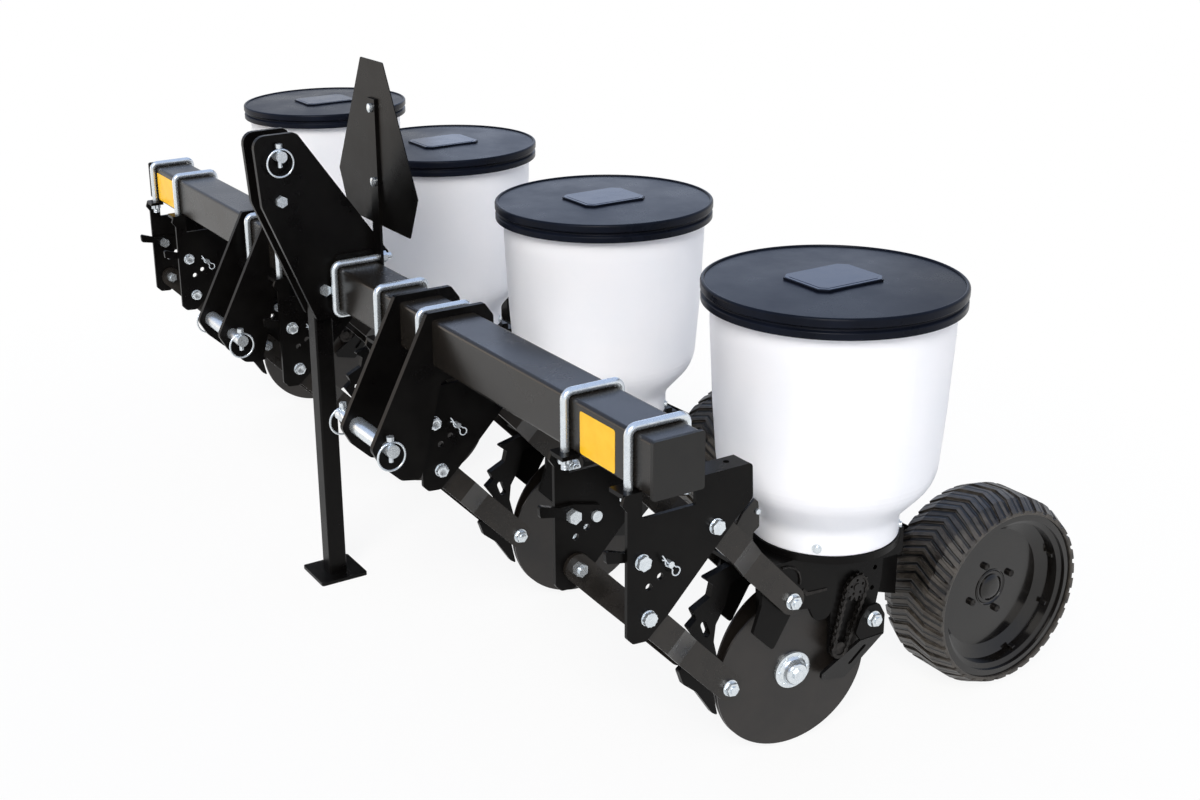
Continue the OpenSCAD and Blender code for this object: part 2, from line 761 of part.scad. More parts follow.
module sprocket(teeth, pitch_r) {
    tip = pitch_r + 4.5;
    difference() {
        union() {
            circle(r = pitch_r - 4);
            for (k = [0 : teeth - 1]) rotate(360 * k / teeth)
                polygon([[pitch_r - 5, -4.2], [tip - 3, -2.6], [tip, -1.2], [tip, 1.2], [tip - 3, 2.6],
                         [pitch_r - 5, 4.2]]);
        }
        for (k = [0 : 4]) rotate(72 * k + 18) translate([pitch_r - 10, 0]) circle(r = 3);
    }
}

meter_teeth = 12;
meter_pitch_r = 24.5;
wheel_teeth = 18;
wheel_pitch_r = 36.6;

module seed_meter(i) {
    color(cast) at_row(i) {
        rod(-far_sprocket_x - sprocket_thick, sprocket_x + sprocket_thick + 2, meter_shaft_r, meter_centre);
        side_plate(-3, 6) translate(meter_centre) difference() {
            circle(r = seed_disc_r);
            for (k = [0 : 23]) rotate(15 * k) translate([seed_disc_r - 7, 0]) circle(r = 3);
        }
        for (x = [sprocket_x, -far_sprocket_x - sprocket_thick])
            side_plate(x, sprocket_thick) translate(meter_centre) sprocket(meter_teeth, meter_pitch_r);
    }
}

// Drive chains: side links on both faces of the sprockets, joined by rollers on the straight runs

chain_pitch = 12.7;
chain_plate = 1.6;
shoe_centre = [453, -518];
shoe_r = 16;

// A belt of chain links round two circles, as a flat band
module chain_band(a, ra, b, rb) {
    dir = atan2(b.y - a.y, b.x - a.x);
    span = norm(b - a);
    tilt = asin((ra - rb) / span);
    run = span * cos(tilt);
    count = floor(run / chain_pitch);
    translate(a) rotate(dir) {
        for (s = [-1, 1]) {
            translate(ra * [sin(tilt), s * cos(tilt)]) rotate(-s * tilt) {
                translate([0, -2.5]) square([run, 5]);
                for (k = [0 : count]) translate([k * run / count, 0]) circle(r = 5, $fn = 24);
            }
        }
        difference() {
            circle(r = ra + 1);
            circle(r = ra - 3);
            translate([ra * sin(tilt), -2 * ra]) square([2 * ra, 4 * ra]);
        }
        translate([span, 0]) difference() {
            circle(r = rb + 4);
            circle(r = rb - 3);
            translate([rb * sin(tilt) - 2 * rb - 10, -2 * rb]) square([2 * rb + 10, 4 * rb]);
        }
    }
}

module chain_rollers(a, ra, b, rb, x0, x1) {
    dir = atan2(b.y - a.y, b.x - a.x);
    span = norm(b - a);
    tilt = asin((ra - rb) / span);
    run = span * cos(tilt);
    count = floor(run / chain_pitch);
    side_plate(x0, x1 - x0) translate(a) rotate(dir)
        for (s = [-1, 1]) translate(ra * [sin(tilt), s * cos(tilt)]) rotate(-s * tilt)
            for (k = [2 : count - 2]) translate([k * run / count, 0]) circle(r = 3.2, $fn = 24);
}

module chain(a, ra, b, rb, x) {
    gap = 0.4;
    low = x - gap - chain_plate;
    high = x + sprocket_thick + gap;
    for (x0 = [low, high]) side_plate(x0, chain_plate) chain_band(a, ra, b, rb);
    chain_rollers(a, ra, b, rb, low + chain_plate / 2, high + chain_plate / 2);
}

module drive_chains(i) {
    color(dark) at_row(i) {
        chain(meter_centre, meter_pitch_r, shoe_centre, shoe_r, sprocket_x);
        rod(gear_x + cheek, sprocket_x + sprocket_thick, shoe_r - 2.5, shoe_centre);
        chain(meter_centre, meter_pitch_r, wheel_centre, wheel_pitch_r, -far_sprocket_x - sprocket_thick);
    }
}

// Hopper: a moulded tub on a seat ring, with a lift off lid

// Wall points of the tub from the neck up to the rim, moved inward by off
function tub(off) = [[hopper_neck_r - off, -236], [204 - off, -164 + off / 2], [214 - off, -35],
                     [hopper_mouth_r - off, 120], [hopper_mouth_r + 1 - off, hopper_rim]];
function backward(list) = [for (k = [len(list) - 1 : -1 : 0]) list[k]];
hopper_rim = lid_top - 9;
lid_gap = 0.4;
seed_hole_r = 20;

module hopper(i) {
    floor_z = hopper_bottom + hopper_wall;
    outer = concat([[seed_hole_r, hopper_bottom], [hopper_neck_r, hopper_bottom]], tub(0));
    inner = concat([[seed_hole_r, floor_z], [hopper_neck_r - hopper_wall, floor_z]], tub(hopper_wall));
    bends = [0, 4, 40, 90, 60, 60, 0];
    color(milk) at_row(i) translate([0, hopper_y, 0]) rotate_extrude($fn = 128)
        polygon(rounded(concat(outer, backward(inner)), concat(bends, backward(bends))));
}

pad_wide = 125;
pad_long = 155;

module hopper_lid(i) {
    low = lid_top - 3 - lid_rim;
    color(paint) at_row(i) translate([0, hopper_y, 0]) {
        rotate_extrude($fn = 128) difference() {
            polygon(concat([[0, low]], rounded([[lid_r - 5, low], [lid_r - 1, low + 3], [lid_r - 1, low + 15],
                    [lid_r - 7, low + 18], [lid_r - 7, low + 22], [lid_r, low + 25], [lid_r, lid_top - 3],
                    [lid_r - 8, lid_top]], [2, 2, 3, 2, 2, 3, 5, 3]), [[0, lid_top]]));
            translate([-1, low - 1]) square([hopper_mouth_r + 4 + 1, hopper_rim + lid_gap - low + 1]);
        }
        translate([0, 0, lid_top - 1]) linear_extrude(3) intersection() {
            square([pad_wide, pad_long], center = true);
            rotate(45) square([pad_long + 22, pad_long + 22], center = true);
        }
    }
}

// Press wheel: a deep dish rim on the wheel arm's axle, with a ribbed tyre

wheel_web_x = 24;
web = 6;
hub_tube_r = 22;
drop_r = 159.5;
half_tyre = tyre_width / 2;

module wheel_rim(i) {
    lip = half_tyre - 6;
    color(dark) at_row(i) translate([0, wheel_centre.x, wheel_centre.y]) rotate([0, 90, 0]) {
        rotate_extrude($fn = 96) polygon([
            [0, wheel_web_x], [hub_tube_r - 6, wheel_web_x], [axle_r + run_gap, wheel_web_x],
            [axle_r + run_gap, -far_sprocket_x - sprocket_thick], [hub_tube_r, -far_sprocket_x - sprocket_thick],
            [hub_tube_r, wheel_web_x - 2], [128, wheel_web_x - 2], [154, wheel_web_x + 8], [154, -lip + 12],
            [rim_r - 4, -lip + 8], [rim_r - 4, -lip], [rim_r + 10, -lip], [rim_r + 10, -lip + 4], [rim_r, -lip + 4],
            [rim_r, -lip + 18], [drop_r, -lip + 26], [drop_r, lip - 26], [rim_r, lip - 18], [rim_r, lip - 4], [rim_r + 10, lip - 4], [rim_r + 10, lip], [rim_r - 4, lip], [rim_r - 4, lip - 8],
            [154, lip - 12], [154, wheel_web_x + 16], [128, wheel_web_x + web - 2], [hub_tube_r + 12, wheel_web_x + web - 2],
            [hub_tube_r + 12, wheel_web_x + web - 3], [hub_tube_r + 10, wheel_web_x + web - 3],
            [hub_tube_r + 10, wheel_web_x + web - 2], [0, wheel_web_x + web - 2]]);
        for (k = [0 : 3]) rotate(90 * k + 20) translate([56, 0, wheel_web_x + web - 3])
            cylinder(h = 7, r = 6, $fn = 6);
        translate([0, 0, wheel_web_x + 2]) cylinder(h = 8, r = 14);
        translate([0, 0, -far_sprocket_x - sprocket_thick]) linear_extrude(sprocket_thick) difference() {
            sprocket(wheel_teeth, wheel_pitch_r);
            circle(r = hub_tube_r - 1);
        }
    }
}

lug_count = 34;
lug_height = 5;
lug_width = 21;
lug_slant = 22;

// Outline across the tyre's crown, lowered by off, from one shoulder to the other
function half_crown(off) = [[tyre_r - off - 16, half_tyre - 1], [tyre_r - off, 46]];
function crown(off) = concat(half_crown(off), [for (p = backward(half_crown(off))) [p.x, -p.y]]);

// One half of a chevron rib, from the middle of the tread out to its shoulder
module lug(side) {
    reach = half_tyre / cos(lug_slant) + 12;
    inward = lug_width / 2 * tan(lug_slant);
    translate([0, 0, tyre_r - 30]) rotate([0, 0, -side * lug_slant])
        translate([side < 0 ? -reach : -inward, -lug_width / 2, 0]) cube([reach + inward, lug_width, 40]);
}

module wheel_tyre(i) {
    bead = rim_r + 10;
    color(dark) at_row(i) translate([0, wheel_centre.x, wheel_centre.y]) rotate([0, 90, 0]) {
        rotate_extrude($fn = 96) polygon(concat(
            [[rim_r, -half_tyre + 10], [rim_r, half_tyre - 10], [bead, half_tyre - 10], [bead, half_tyre - 2]],
            crown(lug_height), [[bead, -half_tyre + 2], [bead, -half_tyre + 10]]));
        intersection() {
            rotate_extrude($fn = 96) polygon(concat(crown(0), backward(crown(lug_height + 2))));
            rotate([0, -90, 0]) for (k = [0 : lug_count - 1], side = [-1, 1])
                rotate([360 * k / lug_count, 0, 0]) lug(side);
        }
    }
}

toolbar();
end_caps();
row_brackets();
mast();
hitch_brackets();
hitch_pins();
lynch_pins();
clamp_bolts();
frame_bolts();
stand_leg();
sign_post();
sign_plate();
for (i = rows) {
    upper_arms(i);
    lower_arms(i);
    unit_frame(i);
    disc_left(i);
    disc_right(i);
    meter_housing(i);
    hopper(i);
    hopper_lid(i);
    seed_meter(i);
    drive_chains(i);
    wheel_rim(i);
    wheel_tyre(i);
}
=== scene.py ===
"""Looks of the mounted row planter: finishes, fasteners, trim, studio and camera.

Sizes are in mm. Places are given from the middle of the toolbar: X along it, Y to the rear
and Z up. The solids of the frame lie in metres, with the origin under the parking stand.
"""

import logging
import math
from abc import ABC, abstractmethod
from dataclasses import dataclass
from enum import Enum
from typing import Optional

import bmesh
import bpy
from mathutils import Matrix, Vector


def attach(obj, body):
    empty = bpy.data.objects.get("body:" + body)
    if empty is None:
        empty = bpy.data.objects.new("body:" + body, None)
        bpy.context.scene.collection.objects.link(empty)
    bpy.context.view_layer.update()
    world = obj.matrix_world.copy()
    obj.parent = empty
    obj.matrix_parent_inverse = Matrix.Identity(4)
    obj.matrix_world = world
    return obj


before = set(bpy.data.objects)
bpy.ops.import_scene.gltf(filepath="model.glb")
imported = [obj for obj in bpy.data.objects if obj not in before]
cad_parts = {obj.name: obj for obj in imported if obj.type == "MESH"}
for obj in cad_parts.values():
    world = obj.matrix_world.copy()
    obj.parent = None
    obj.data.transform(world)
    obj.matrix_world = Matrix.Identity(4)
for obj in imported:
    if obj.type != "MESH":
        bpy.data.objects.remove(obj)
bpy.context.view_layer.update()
LOG = logging.getLogger("row_planter")

MM = 0.001
ROWS = (1, 2, 3, 4)
ROW_PITCH = 762.0
BAR_BEHIND_STAND = 76.0
BAR_HEIGHT = 726.5
HALF_BAR = 50.8
HOPPER_CENTRE_Y = 456.0
WHEEL_CENTRE = (891.0, -523.3)
TREAD_RADIUS = 203.2
TREAD_SLANT = math.radians(22)

Point = tuple[float, float]
Points = tuple[Point, ...]
Place = tuple[float, float, float]
Tree = bpy.types.NodeTree
Socket = bpy.types.NodeSocket
Piece = bpy.types.Object


class Slot(Enum):
    """Material slots of the record."""

    PAINT = "black_paint"
    ZINC = "zinc"
    BLACK_PLASTIC = "black_plastic"
    HOPPER = "hopper_plastic"
    DISC = "disc_steel"
    CAST = "cast"
    RIM = "rim_paint"
    TYRE = "tyre"


class Side(Enum):
    """Left and right of a row, as the sign of X."""

    LEFT = -1
    RIGHT = 1


SIDES = (Side.LEFT, Side.RIGHT)


def linear(hex_colour: str) -> tuple[float, float, float, float]:
    """Turns an sRGB hex colour to the linear values that a shader takes.

    Args:
        hex_colour: the colour as "#rrggbb".

    Returns:
        Red, green, blue and alpha, from 0 to 1.
    """
    parts = [int(hex_colour[k:k + 2], 16) / 255 for k in (1, 3, 5)]
    turned = [c / 12.92 if c <= 0.04045 else ((c + 0.055) / 1.055) ** 2.4 for c in parts]
    return (*turned, 1.0)


def row_x(row: int) -> float:
    """Sideways place of a row's middle, in mm."""
    return (row - (len(ROWS) + 1) / 2) * ROW_PITCH


def at(x: float, y: float, z: float) -> Vector:
    """A point given in mm from the toolbar's centre, in metres in the part's frame."""
    return Vector((x, y + BAR_BEHIND_STAND, z + BAR_HEIGHT)) * MM


def on_circle(radius: float, turn: float) -> Vector:
    """A point in metres on a circle about +Z, from its radius in mm and its turn in radians."""
    return Vector((radius * math.cos(turn), radius * math.sin(turn), 0)) * MM


def direction(azimuth: float, elevation: float) -> Vector:
    """A unit vector from its azimuth, from -Y towards +X, and its elevation, in degrees."""
    a, e = math.radians(azimuth), math.radians(elevation)
    return Vector((math.sin(a) * math.cos(e), -math.cos(a) * math.cos(e), math.sin(e)))


def pose(place: Vector, along: Vector, turn: float = 0.0) -> Matrix:
    """A matrix that stands a piece, modelled along +Z from the origin, at a place.

    Args:
        place: where the piece's origin goes, in metres.
        along: the direction that its +Z takes.
        turn: a turn about its own axis, in degrees.

    Returns:
        The matrix for the piece's mesh.
    """
    stand = along.normalized().to_track_quat("Z", "Y").to_matrix().to_4x4()
    return Matrix.Translation(place) @ stand @ Matrix.Rotation(math.radians(turn), 4, "Z")


# Finishes

# Numbers of the sockets of a Mix node that mixes colours
MIX_A, MIX_B, MIX_RESULT = 6, 7, 2
# Most values of a noise pattern lie between these
NOISE_LOW, NOISE_HIGH = 0.35, 0.65
# Rings in a metre of a wave pattern at scale 1
WAVE_RATE = 3.2
# How far light goes into the milky plastic, in metres
SCATTER_DEPTH = 0.012


def add_node(tree: Tree, kind: str, settings: Optional[dict] = None,
             inputs: Optional[dict] = None) -> bpy.types.Node:
    """Adds a node with its settings and its links.

    Args:
        tree: the node tree.
        kind: the node's type name.
        settings: properties by name.
        inputs: values or output sockets, by input name or number.

    Returns:
        The new node.
    """
    node = tree.nodes.new(kind)
    for key, value in (settings or {}).items():
        setattr(node, key, value)
    for key, value in (inputs or {}).items():
        if isinstance(value, Socket):
            tree.links.new(value, node.inputs[key])
        else:
            node.inputs[key].default_value = value
    return node


@dataclass(frozen=True)
class TurnedRings:
    """Fine rings that turning leaves on a disc, about an axis along X.

    Their spacing is coarser than the real 0.3 mm, so that they show.
    """

    centre: Point
    spacing: float
    depth: float

    def add(self, tree: Tree, place: Socket, relief: Socket) -> Socket:
        """Adds the rings to a material.

        Args:
            tree: the material's tree.
            place: the object coordinates.
            relief: the relief so far.

        Returns:
            The relief with the rings.
        """
        centred = add_node(tree, "ShaderNodeMapping", inputs={
            "Vector": place, "Location": tuple(-at(0, *self.centre))}).outputs["Vector"]
        wave = add_node(tree, "ShaderNodeTexWave", {"wave_type": "RINGS", "rings_direction": "X"}, {
            "Vector": centred, "Scale": 1 / (self.spacing * MM * WAVE_RATE)}).outputs["Fac"]
        return add_node(tree, "ShaderNodeBump", inputs={
            "Height": wave, "Distance": self.depth * MM, "Normal": relief}).outputs["Normal"]


@dataclass(frozen=True)
class TreadGrooves:
    """Fine V grooves, darkened with painted shade, parallel to the ribs, round the tread of every
    wheel.

    There are two for each rib. They run out between the radii of shoulder, and their walls go
    down between the values of edge in a cosine wave.
    """

    count: int
    depth: float
    shoulder: Point = (185.0, 188.0)
    edge: Point = (0.3, 0.8)
    # colour: the painted shade that darkens the grooves
    colour: str = "#060505"

    def add(self, tree: Tree, place: Socket, tint: Socket, relief: Socket
            ) -> tuple[Socket, Socket]:
        """Adds the grooves to a material.

        Args:
            tree: the material's tree.
            place: the object coordinates.
            tint: the colour so far.
            relief: the relief so far.

        Returns:
            The colour and the relief with the grooves.
        """
        centred = add_node(tree, "ShaderNodeMapping", inputs={
            "Vector": place, "Location": tuple(-at(row_x(1), *WHEEL_CENTRE))}).outputs["Vector"]
        split = add_node(tree, "ShaderNodeSeparateXYZ", inputs={"Vector": centred})
        found = {axis: split.outputs[axis] for axis in "XYZ"}
        # The turn about the axle, less a lag that grows to both sides, gives the wave
        for name, operation, one, other in (
                ("ahead", "MULTIPLY", "Y", -1.0), ("turn", "ARCTAN2", "ahead", "Z"),
                ("aside", "PINGPONG", "X", ROW_PITCH * MM / 2),
                ("lag", "MULTIPLY", "aside", math.tan(TREAD_SLANT) / (TREAD_RADIUS * MM)),
                ("phase", "SUBTRACT", "turn", "lag"), ("angle", "MULTIPLY", "phase", self.count),
                ("wave", "COSINE", "angle", 0.0), ("rear_square", "POWER", "Y", 2.0),
                ("high_square", "POWER", "Z", 2.0), ("square", "ADD", "rear_square", "high_square"),
                ("radius", "SQRT", "square", 0.0)):
            found[name] = add_node(tree, "ShaderNodeMath", {"operation": operation}, {
                0: found[one], 1: found.get(other, other)}).outputs[0]
        crown = add_node(tree, "ShaderNodeMapRange", inputs={
            "Value": found["radius"], "From Min": self.shoulder[0] * MM,
            "From Max": self.shoulder[1] * MM}).outputs["Result"]
        cut = add_node(tree, "ShaderNodeMapRange", inputs={
            "Value": found["wave"], "From Min": self.edge[0],
            "From Max": self.edge[1]}).outputs["Result"]
        groove = add_node(tree, "ShaderNodeMath", {"operation": "MULTIPLY"}, {
            0: cut, 1: crown}).outputs[0]
        # Painted shade: the tread darkens to colour inside each groove
        dark = add_node(tree, "ShaderNodeMix", {"data_type": "RGBA"}, {
            0: groove, MIX_A: tint, MIX_B: linear(self.colour)}).outputs[MIX_RESULT]
        sunk = add_node(tree, "ShaderNodeBump", {"invert": True}, {
            "Height": groove, "Distance": self.depth * MM, "Normal": relief}).outputs["Normal"]
        return dark, sunk


@dataclass(frozen=True)
class Finish:
    """One finish of the planter, made as a procedural material.

    Attributes:
        name: what the real material is.
        slot: the record's slot for this finish; not used.
        colour: its main colour.
        shade: the colour that it drifts to.
        drift: size of the patches of that drift.
        grain: size of the surface grain.
        grain_height: height of the grain.
        roughness: lowest and highest roughness.
        metallic: 1 for bare metal, less under a plating that has gone dull.
        coat: weight of a clear top layer.
        specular: strength of its mirror light, 0.5 for a full gloss paint.
        scatter: share of light that goes into a milky plastic.
        rings: rings of turned steel, or None.
        grooves: grooves of a tread, or None.
    """

    name: str
    slot: Slot
    colour: str
    shade: str
    drift: float
    grain: float
    grain_height: float
    roughness: Point
    metallic: float = 0.0
    coat: float = 0.0
    specular: float = 0.5
    scatter: float = 0.0
    rings: Optional[TurnedRings] = None
    grooves: Optional[TreadGrooves] = None

    def material(self) -> bpy.types.Material:
        """Gives the material, made at its first use."""
        return bpy.data.materials.get(self.name) or self.build()

    def build(self) -> bpy.types.Material:
        """Makes the material's node tree.

        Returns:
            The new material.
        """
        made = bpy.data.materials.new(self.name)
        made.use_nodes = True
        tree = made.node_tree
        tree.nodes.clear()
        place = add_node(tree, "ShaderNodeTexCoord").outputs["Object"]
        patches = add_node(tree, "ShaderNodeTexNoise", inputs={
            "Vector": place, "Scale": 1 / (self.drift * MM), "Detail": 4.0,
            "Roughness": 0.6}).outputs["Fac"]
        grain = add_node(tree, "ShaderNodeTexNoise", inputs={
            "Vector": place, "Scale": 1 / (self.grain * MM)}).outputs["Fac"]
        spread = add_node(tree, "ShaderNodeMapRange", inputs={
            "Value": patches, "From Min": NOISE_LOW, "From Max": NOISE_HIGH}).outputs["Result"]
        tint = add_node(tree, "ShaderNodeMix", {"data_type": "RGBA"}, {
            0: spread, MIX_A: linear(self.colour), MIX_B: linear(self.shade)}).outputs[MIX_RESULT]
        polish = add_node(tree, "ShaderNodeMapRange", inputs={
            "Value": patches, "From Min": NOISE_LOW, "From Max": NOISE_HIGH,
            "To Min": self.roughness[0], "To Max": self.roughness[1]}).outputs["Result"]
        relief = add_node(tree, "ShaderNodeBump", inputs={
            "Height": grain, "Distance": self.grain_height * MM}).outputs["Normal"]
        if self.rings:
            relief = self.rings.add(tree, place, relief)
        if self.grooves:
            tint, relief = self.grooves.add(tree, place, tint, relief)
        shader = add_node(tree, "ShaderNodeBsdfPrincipled", inputs={
            "Base Color": tint, "Roughness": polish, "Normal": relief, "Metallic": self.metallic,
            "Coat Weight": self.coat, "Specular IOR Level": self.specular,
            "Subsurface Weight": self.scatter, "Subsurface Radius": (1.0, 1.0, 1.0),
            "Subsurface Scale": SCATTER_DEPTH})
        add_node(tree, "ShaderNodeOutputMaterial", inputs={"Surface": shader.outputs["BSDF"]})
        return made


# Satin powder coat on welded steel: near black, soft wide highlights, a fine orange peel
POWDER_COAT = Finish("powder_coated_steel", Slot.PAINT, "#080707", "#0e0d0c", drift=90.0, grain=2.2,
                     grain_height=0.035, roughness=(0.26, 0.36), specular=0.1)
# The arms' coat: more glossy than the plates; its lighter, browner colour is painted light that the
# arms catch
ARM_COAT_PAINTED_LIGHT = Finish("arm_coat_with_painted_light", Slot.PAINT, "#1b1815", "#24201c", drift=70.0, grain=2.2,
                  grain_height=0.035, roughness=(0.24, 0.34), specular=0.36)
# The same coat on the tube, a little smoother; its lighter, greyer colour is painted light that the
# tube catches
TUBE_COAT_PAINTED_LIGHT = Finish("tube_coat_with_painted_light", Slot.PAINT, "#1c1916", "#24211d", drift=160.0, grain=2.0,
                  grain_height=0.03, roughness=(0.22, 0.3), specular=0.36)
# Bright zinc plate: bluish white metal, a little dull, with faint cloudy patches
ZINC_PLATE = Finish("bright_zinc_plate", Slot.ZINC, "#e0e6ea", "#d3dadf", drift=12.0, grain=1.2,
                    grain_height=0.004, roughness=(0.24, 0.3), metallic=0.82)
# Moulded polyethylene of the hoppers: milky white, softly glossy, slight flow marks
MILKY_POLYETHYLENE = Finish("milky_polyethylene", Slot.HOPPER, "#fbfbff", "#f5f7fc", drift=220.0,
                            grain=3.0, grain_height=0.02, roughness=(0.3, 0.38), scatter=0.2)
# Moulded lid plastic: blue black, softly glossy, with a fine leathery grain
LID_PLASTIC = Finish("grained_lid_plastic", Slot.BLACK_PLASTIC, "#0c0f17", "#131722", drift=120.0,
                     grain=1.6, grain_height=0.05, roughness=(0.26, 0.36), specular=0.08)
# Glossy raised pad of a lid, with a soft waviness; its lighter blue grey is a painted reflection of
# the sky
PAD_SKY_REFLECTION = Finish("pad_with_painted_sky_reflection", Slot.BLACK_PLASTIC, "#1b253a", "#263248", drift=40.0,
                     grain=4.0, grain_height=0.06, roughness=(0.14, 0.24), specular=0.18)
# Cap plastic: matte black with a pebbled face
CAP_PLASTIC = Finish("pebbled_cap_plastic", Slot.BLACK_PLASTIC, "#151413", "#1d1c1a", drift=40.0,
                     grain=1.8, grain_height=0.1, roughness=(0.42, 0.52), specular=0.35)
# Turned and coated disc steel: brown black with fine rings
DISC_STEEL = Finish("coated_disc_steel", Slot.DISC, "#191614", "#231f1c", drift=70.0, grain=1.2,
                    grain_height=0.02, roughness=(0.3, 0.42), specular=0.45,
                    rings=TurnedRings(centre=(372.0, -557.7), spacing=3.0, depth=0.02))
# Cast iron parts of the meter under black paint: dull, with a sandy skin
PAINTED_CASTING = Finish("painted_casting", Slot.CAST, "#12100f", "#1d1a18", drift=18.0, grain=2.0,
                         grain_height=0.12, roughness=(0.4, 0.55), specular=0.3)
# Oiled chain steel: dark, a little shiny on the side links
CHAIN_STEEL = Finish("oiled_chain_steel", Slot.DISC, "#2b2826", "#161412", drift=9.0, grain=0.8,
                     grain_height=0.03, roughness=(0.3, 0.5), metallic=0.7)
# Gloss paint inside the wheel rims: black, with sharp highlights in the dish
RIM_PAINT = Finish("gloss_rim_paint", Slot.RIM, "#0e0c0b", "#161412", drift=80.0, grain=2.2,
                   grain_height=0.02, roughness=(0.12, 0.2), coat=0.3, specular=0.3)
# Tyre rubber: dark brown black with a dull sheen, dusty patches and painted shade in the grooves
# between fine ribs
TYRE_RUBBER = Finish("ribbed_tyre_rubber", Slot.TYRE, "#221e1a", "#45403a", drift=26.0, grain=1.1,
                     grain_height=0.06, roughness=(0.36, 0.52),
                     grooves=TreadGrooves(count=68, depth=3.0))
# Amber reflector tape behind clear film
AMBER_TAPE = Finish("amber_reflector_tape", Slot.PAINT, "#f9bd16", "#fbc62c", drift=30.0, grain=3.0,
                    grain_height=0.05, roughness=(0.35, 0.42), coat=0.15, specular=0.2)
# Red plastic of a small tag: plain and half glossy
RED_PLASTIC = Finish("red_tag_plastic", Slot.PAINT, "#b3231c", "#bd2d24", drift=20.0, grain=1.0,
                     grain_height=0.03, roughness=(0.35, 0.45))

# The toolbar, the latches and the arms take coats lighter than the plates': painted light
NODE_FINISHES = {
    "toolbar": TUBE_COAT_PAINTED_LIGHT, "end_caps": CAP_PLASTIC, "row_brackets": POWDER_COAT,
    "mast": POWDER_COAT, "hitch_brackets": POWDER_COAT, "hitch_pins": ZINC_PLATE,
    "lynch_pins": ZINC_PLATE, "clamp_bolts": ZINC_PLATE, "frame_bolts": ZINC_PLATE,
    "stand_leg": POWDER_COAT, "sign_post": POWDER_COAT, "sign_plate": POWDER_COAT,
    "upper_arms": ARM_COAT_PAINTED_LIGHT, "lower_arms": ARM_COAT_PAINTED_LIGHT, "unit_frame": POWDER_COAT,
    "disc_left": DISC_STEEL, "disc_right": DISC_STEEL, "meter_housing": PAINTED_CASTING,
    "hopper": MILKY_POLYETHYLENE, "hopper_lid": LID_PLASTIC, "seed_meter": PAINTED_CASTING,
    "drive_chains": CHAIN_STEEL, "wheel_rim": RIM_PAINT, "wheel_tyre": TYRE_RUBBER,
}


def dress_nodes(nodes: dict[str, Piece]) -> None:
    """Gives each CAD node its finish.

    Args:
        nodes: the CAD nodes by name.
    """
    for name, node in nodes.items():
        stem = name.rstrip("0123456789").rstrip("_")
        node.data.materials.clear()
        node.data.materials.append(NODE_FINISHES[stem].material())
        LOG.info("node %s: %s", name, NODE_FINISHES[stem].name)


# Modelling

SMOOTH_ANGLE = math.radians(32)
# A quarter turn about each axis
QUARTER = {axis: Matrix.Rotation(math.pi / 2, 4, axis) for axis in "XYZ"}
# A chamfer goes up by this share of what it goes in
CHAMFER_RISE = 0.4
# A face that looks up more than this is a top face
TOP_NORMAL = 0.9


def deselect_all() -> None:
    """Leaves nothing selected, so that the next operator acts on the new piece alone."""
    bpy.ops.object.select_all(action="DESELECT")


def joined(parts: list[Piece]) -> Piece:
    """Joins parts into one object.

    Args:
        parts: the objects, of which the first takes in the others.

    Returns:
        The joined object.
    """
    deselect_all()
    for part in parts:
        part.select_set(True)
    bpy.context.view_layer.objects.active = parts[0]
    if len(parts) > 1:
        bpy.ops.object.join()
    return bpy.context.view_layer.objects.active


def moved(piece: Piece, place: Matrix) -> Piece:
    """Moves a piece's mesh, and leaves its object at the origin."""
    piece.data.transform(place)
    return piece


def copies(pattern: Piece, places: list[Matrix]) -> list[Piece]:
    """Copies a modelled piece to its places and drops the pattern.

    Args:
        pattern: the piece, modelled at the origin.
        places: one matrix for each copy.

    Returns:
        The copies, each with its own mesh.
    """
    made = []
    for place in places:
        new = bpy.data.objects.new(pattern.name, pattern.data.copy())
        bpy.context.scene.collection.objects.link(new)
        made.append(moved(new, place))
    bpy.data.objects.remove(pattern)
    return made


def fit(name: str, parts: list[Piece], finish: Finish, body: str) -> Piece:
    """Joins parts into one piece, gives it its finish and fixes it to its body.

    Args:
        name: the piece's name.
        parts: the objects to join.
        finish: its finish.
        body: the body that it rides on.

    Returns:
        The finished piece.
    """
    piece = joined(parts)
    piece.name = name
    piece.data.name = name
    piece.data.materials.clear()
    piece.data.materials.append(finish.material())
    for polygon in piece.data.polygons:
        polygon.material_index = 0
    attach(piece, body)
    LOG.info("piece %s: %d faces on %s", name, len(piece.data.polygons), body)
    return piece


def to_mesh(line: bpy.types.Curve) -> Piece:
    """Turns a curve into a mesh object with smooth faces.

    Args:
        line: the curve.

    Returns:
        The new object.
    """
    made = bpy.data.objects.new(line.name, line)
    bpy.context.scene.collection.objects.link(made)
    deselect_all()
    made.select_set(True)
    bpy.context.view_layer.objects.active = made
    bpy.ops.object.convert(target="MESH")
    made = bpy.context.active_object
    bpy.ops.object.shade_smooth_by_angle(angle=SMOOTH_ANGLE)
    return made


def wire(points: list[Vector], radius: float, closed: bool = False) -> Piece:
    """Bends a round wire through points.

    Args:
        points: the wire's centre line, in metres.
        radius: the wire's radius, in mm.
        closed: whether its ends meet.

    Returns:
        The wire as a mesh.
    """
    line = bpy.data.curves.new("wire", "CURVE")
    line.dimensions = "3D"
    line.bevel_depth = radius * MM
    line.bevel_resolution = 2
    line.use_fill_caps = True
    spline = line.splines.new("POLY")
    spline.points.add(len(points) - 1)
    for knot, point in zip(spline.points, points):
        knot.co = (*point, 1.0)
    spline.use_cyclic_u = closed
    return to_mesh(line)


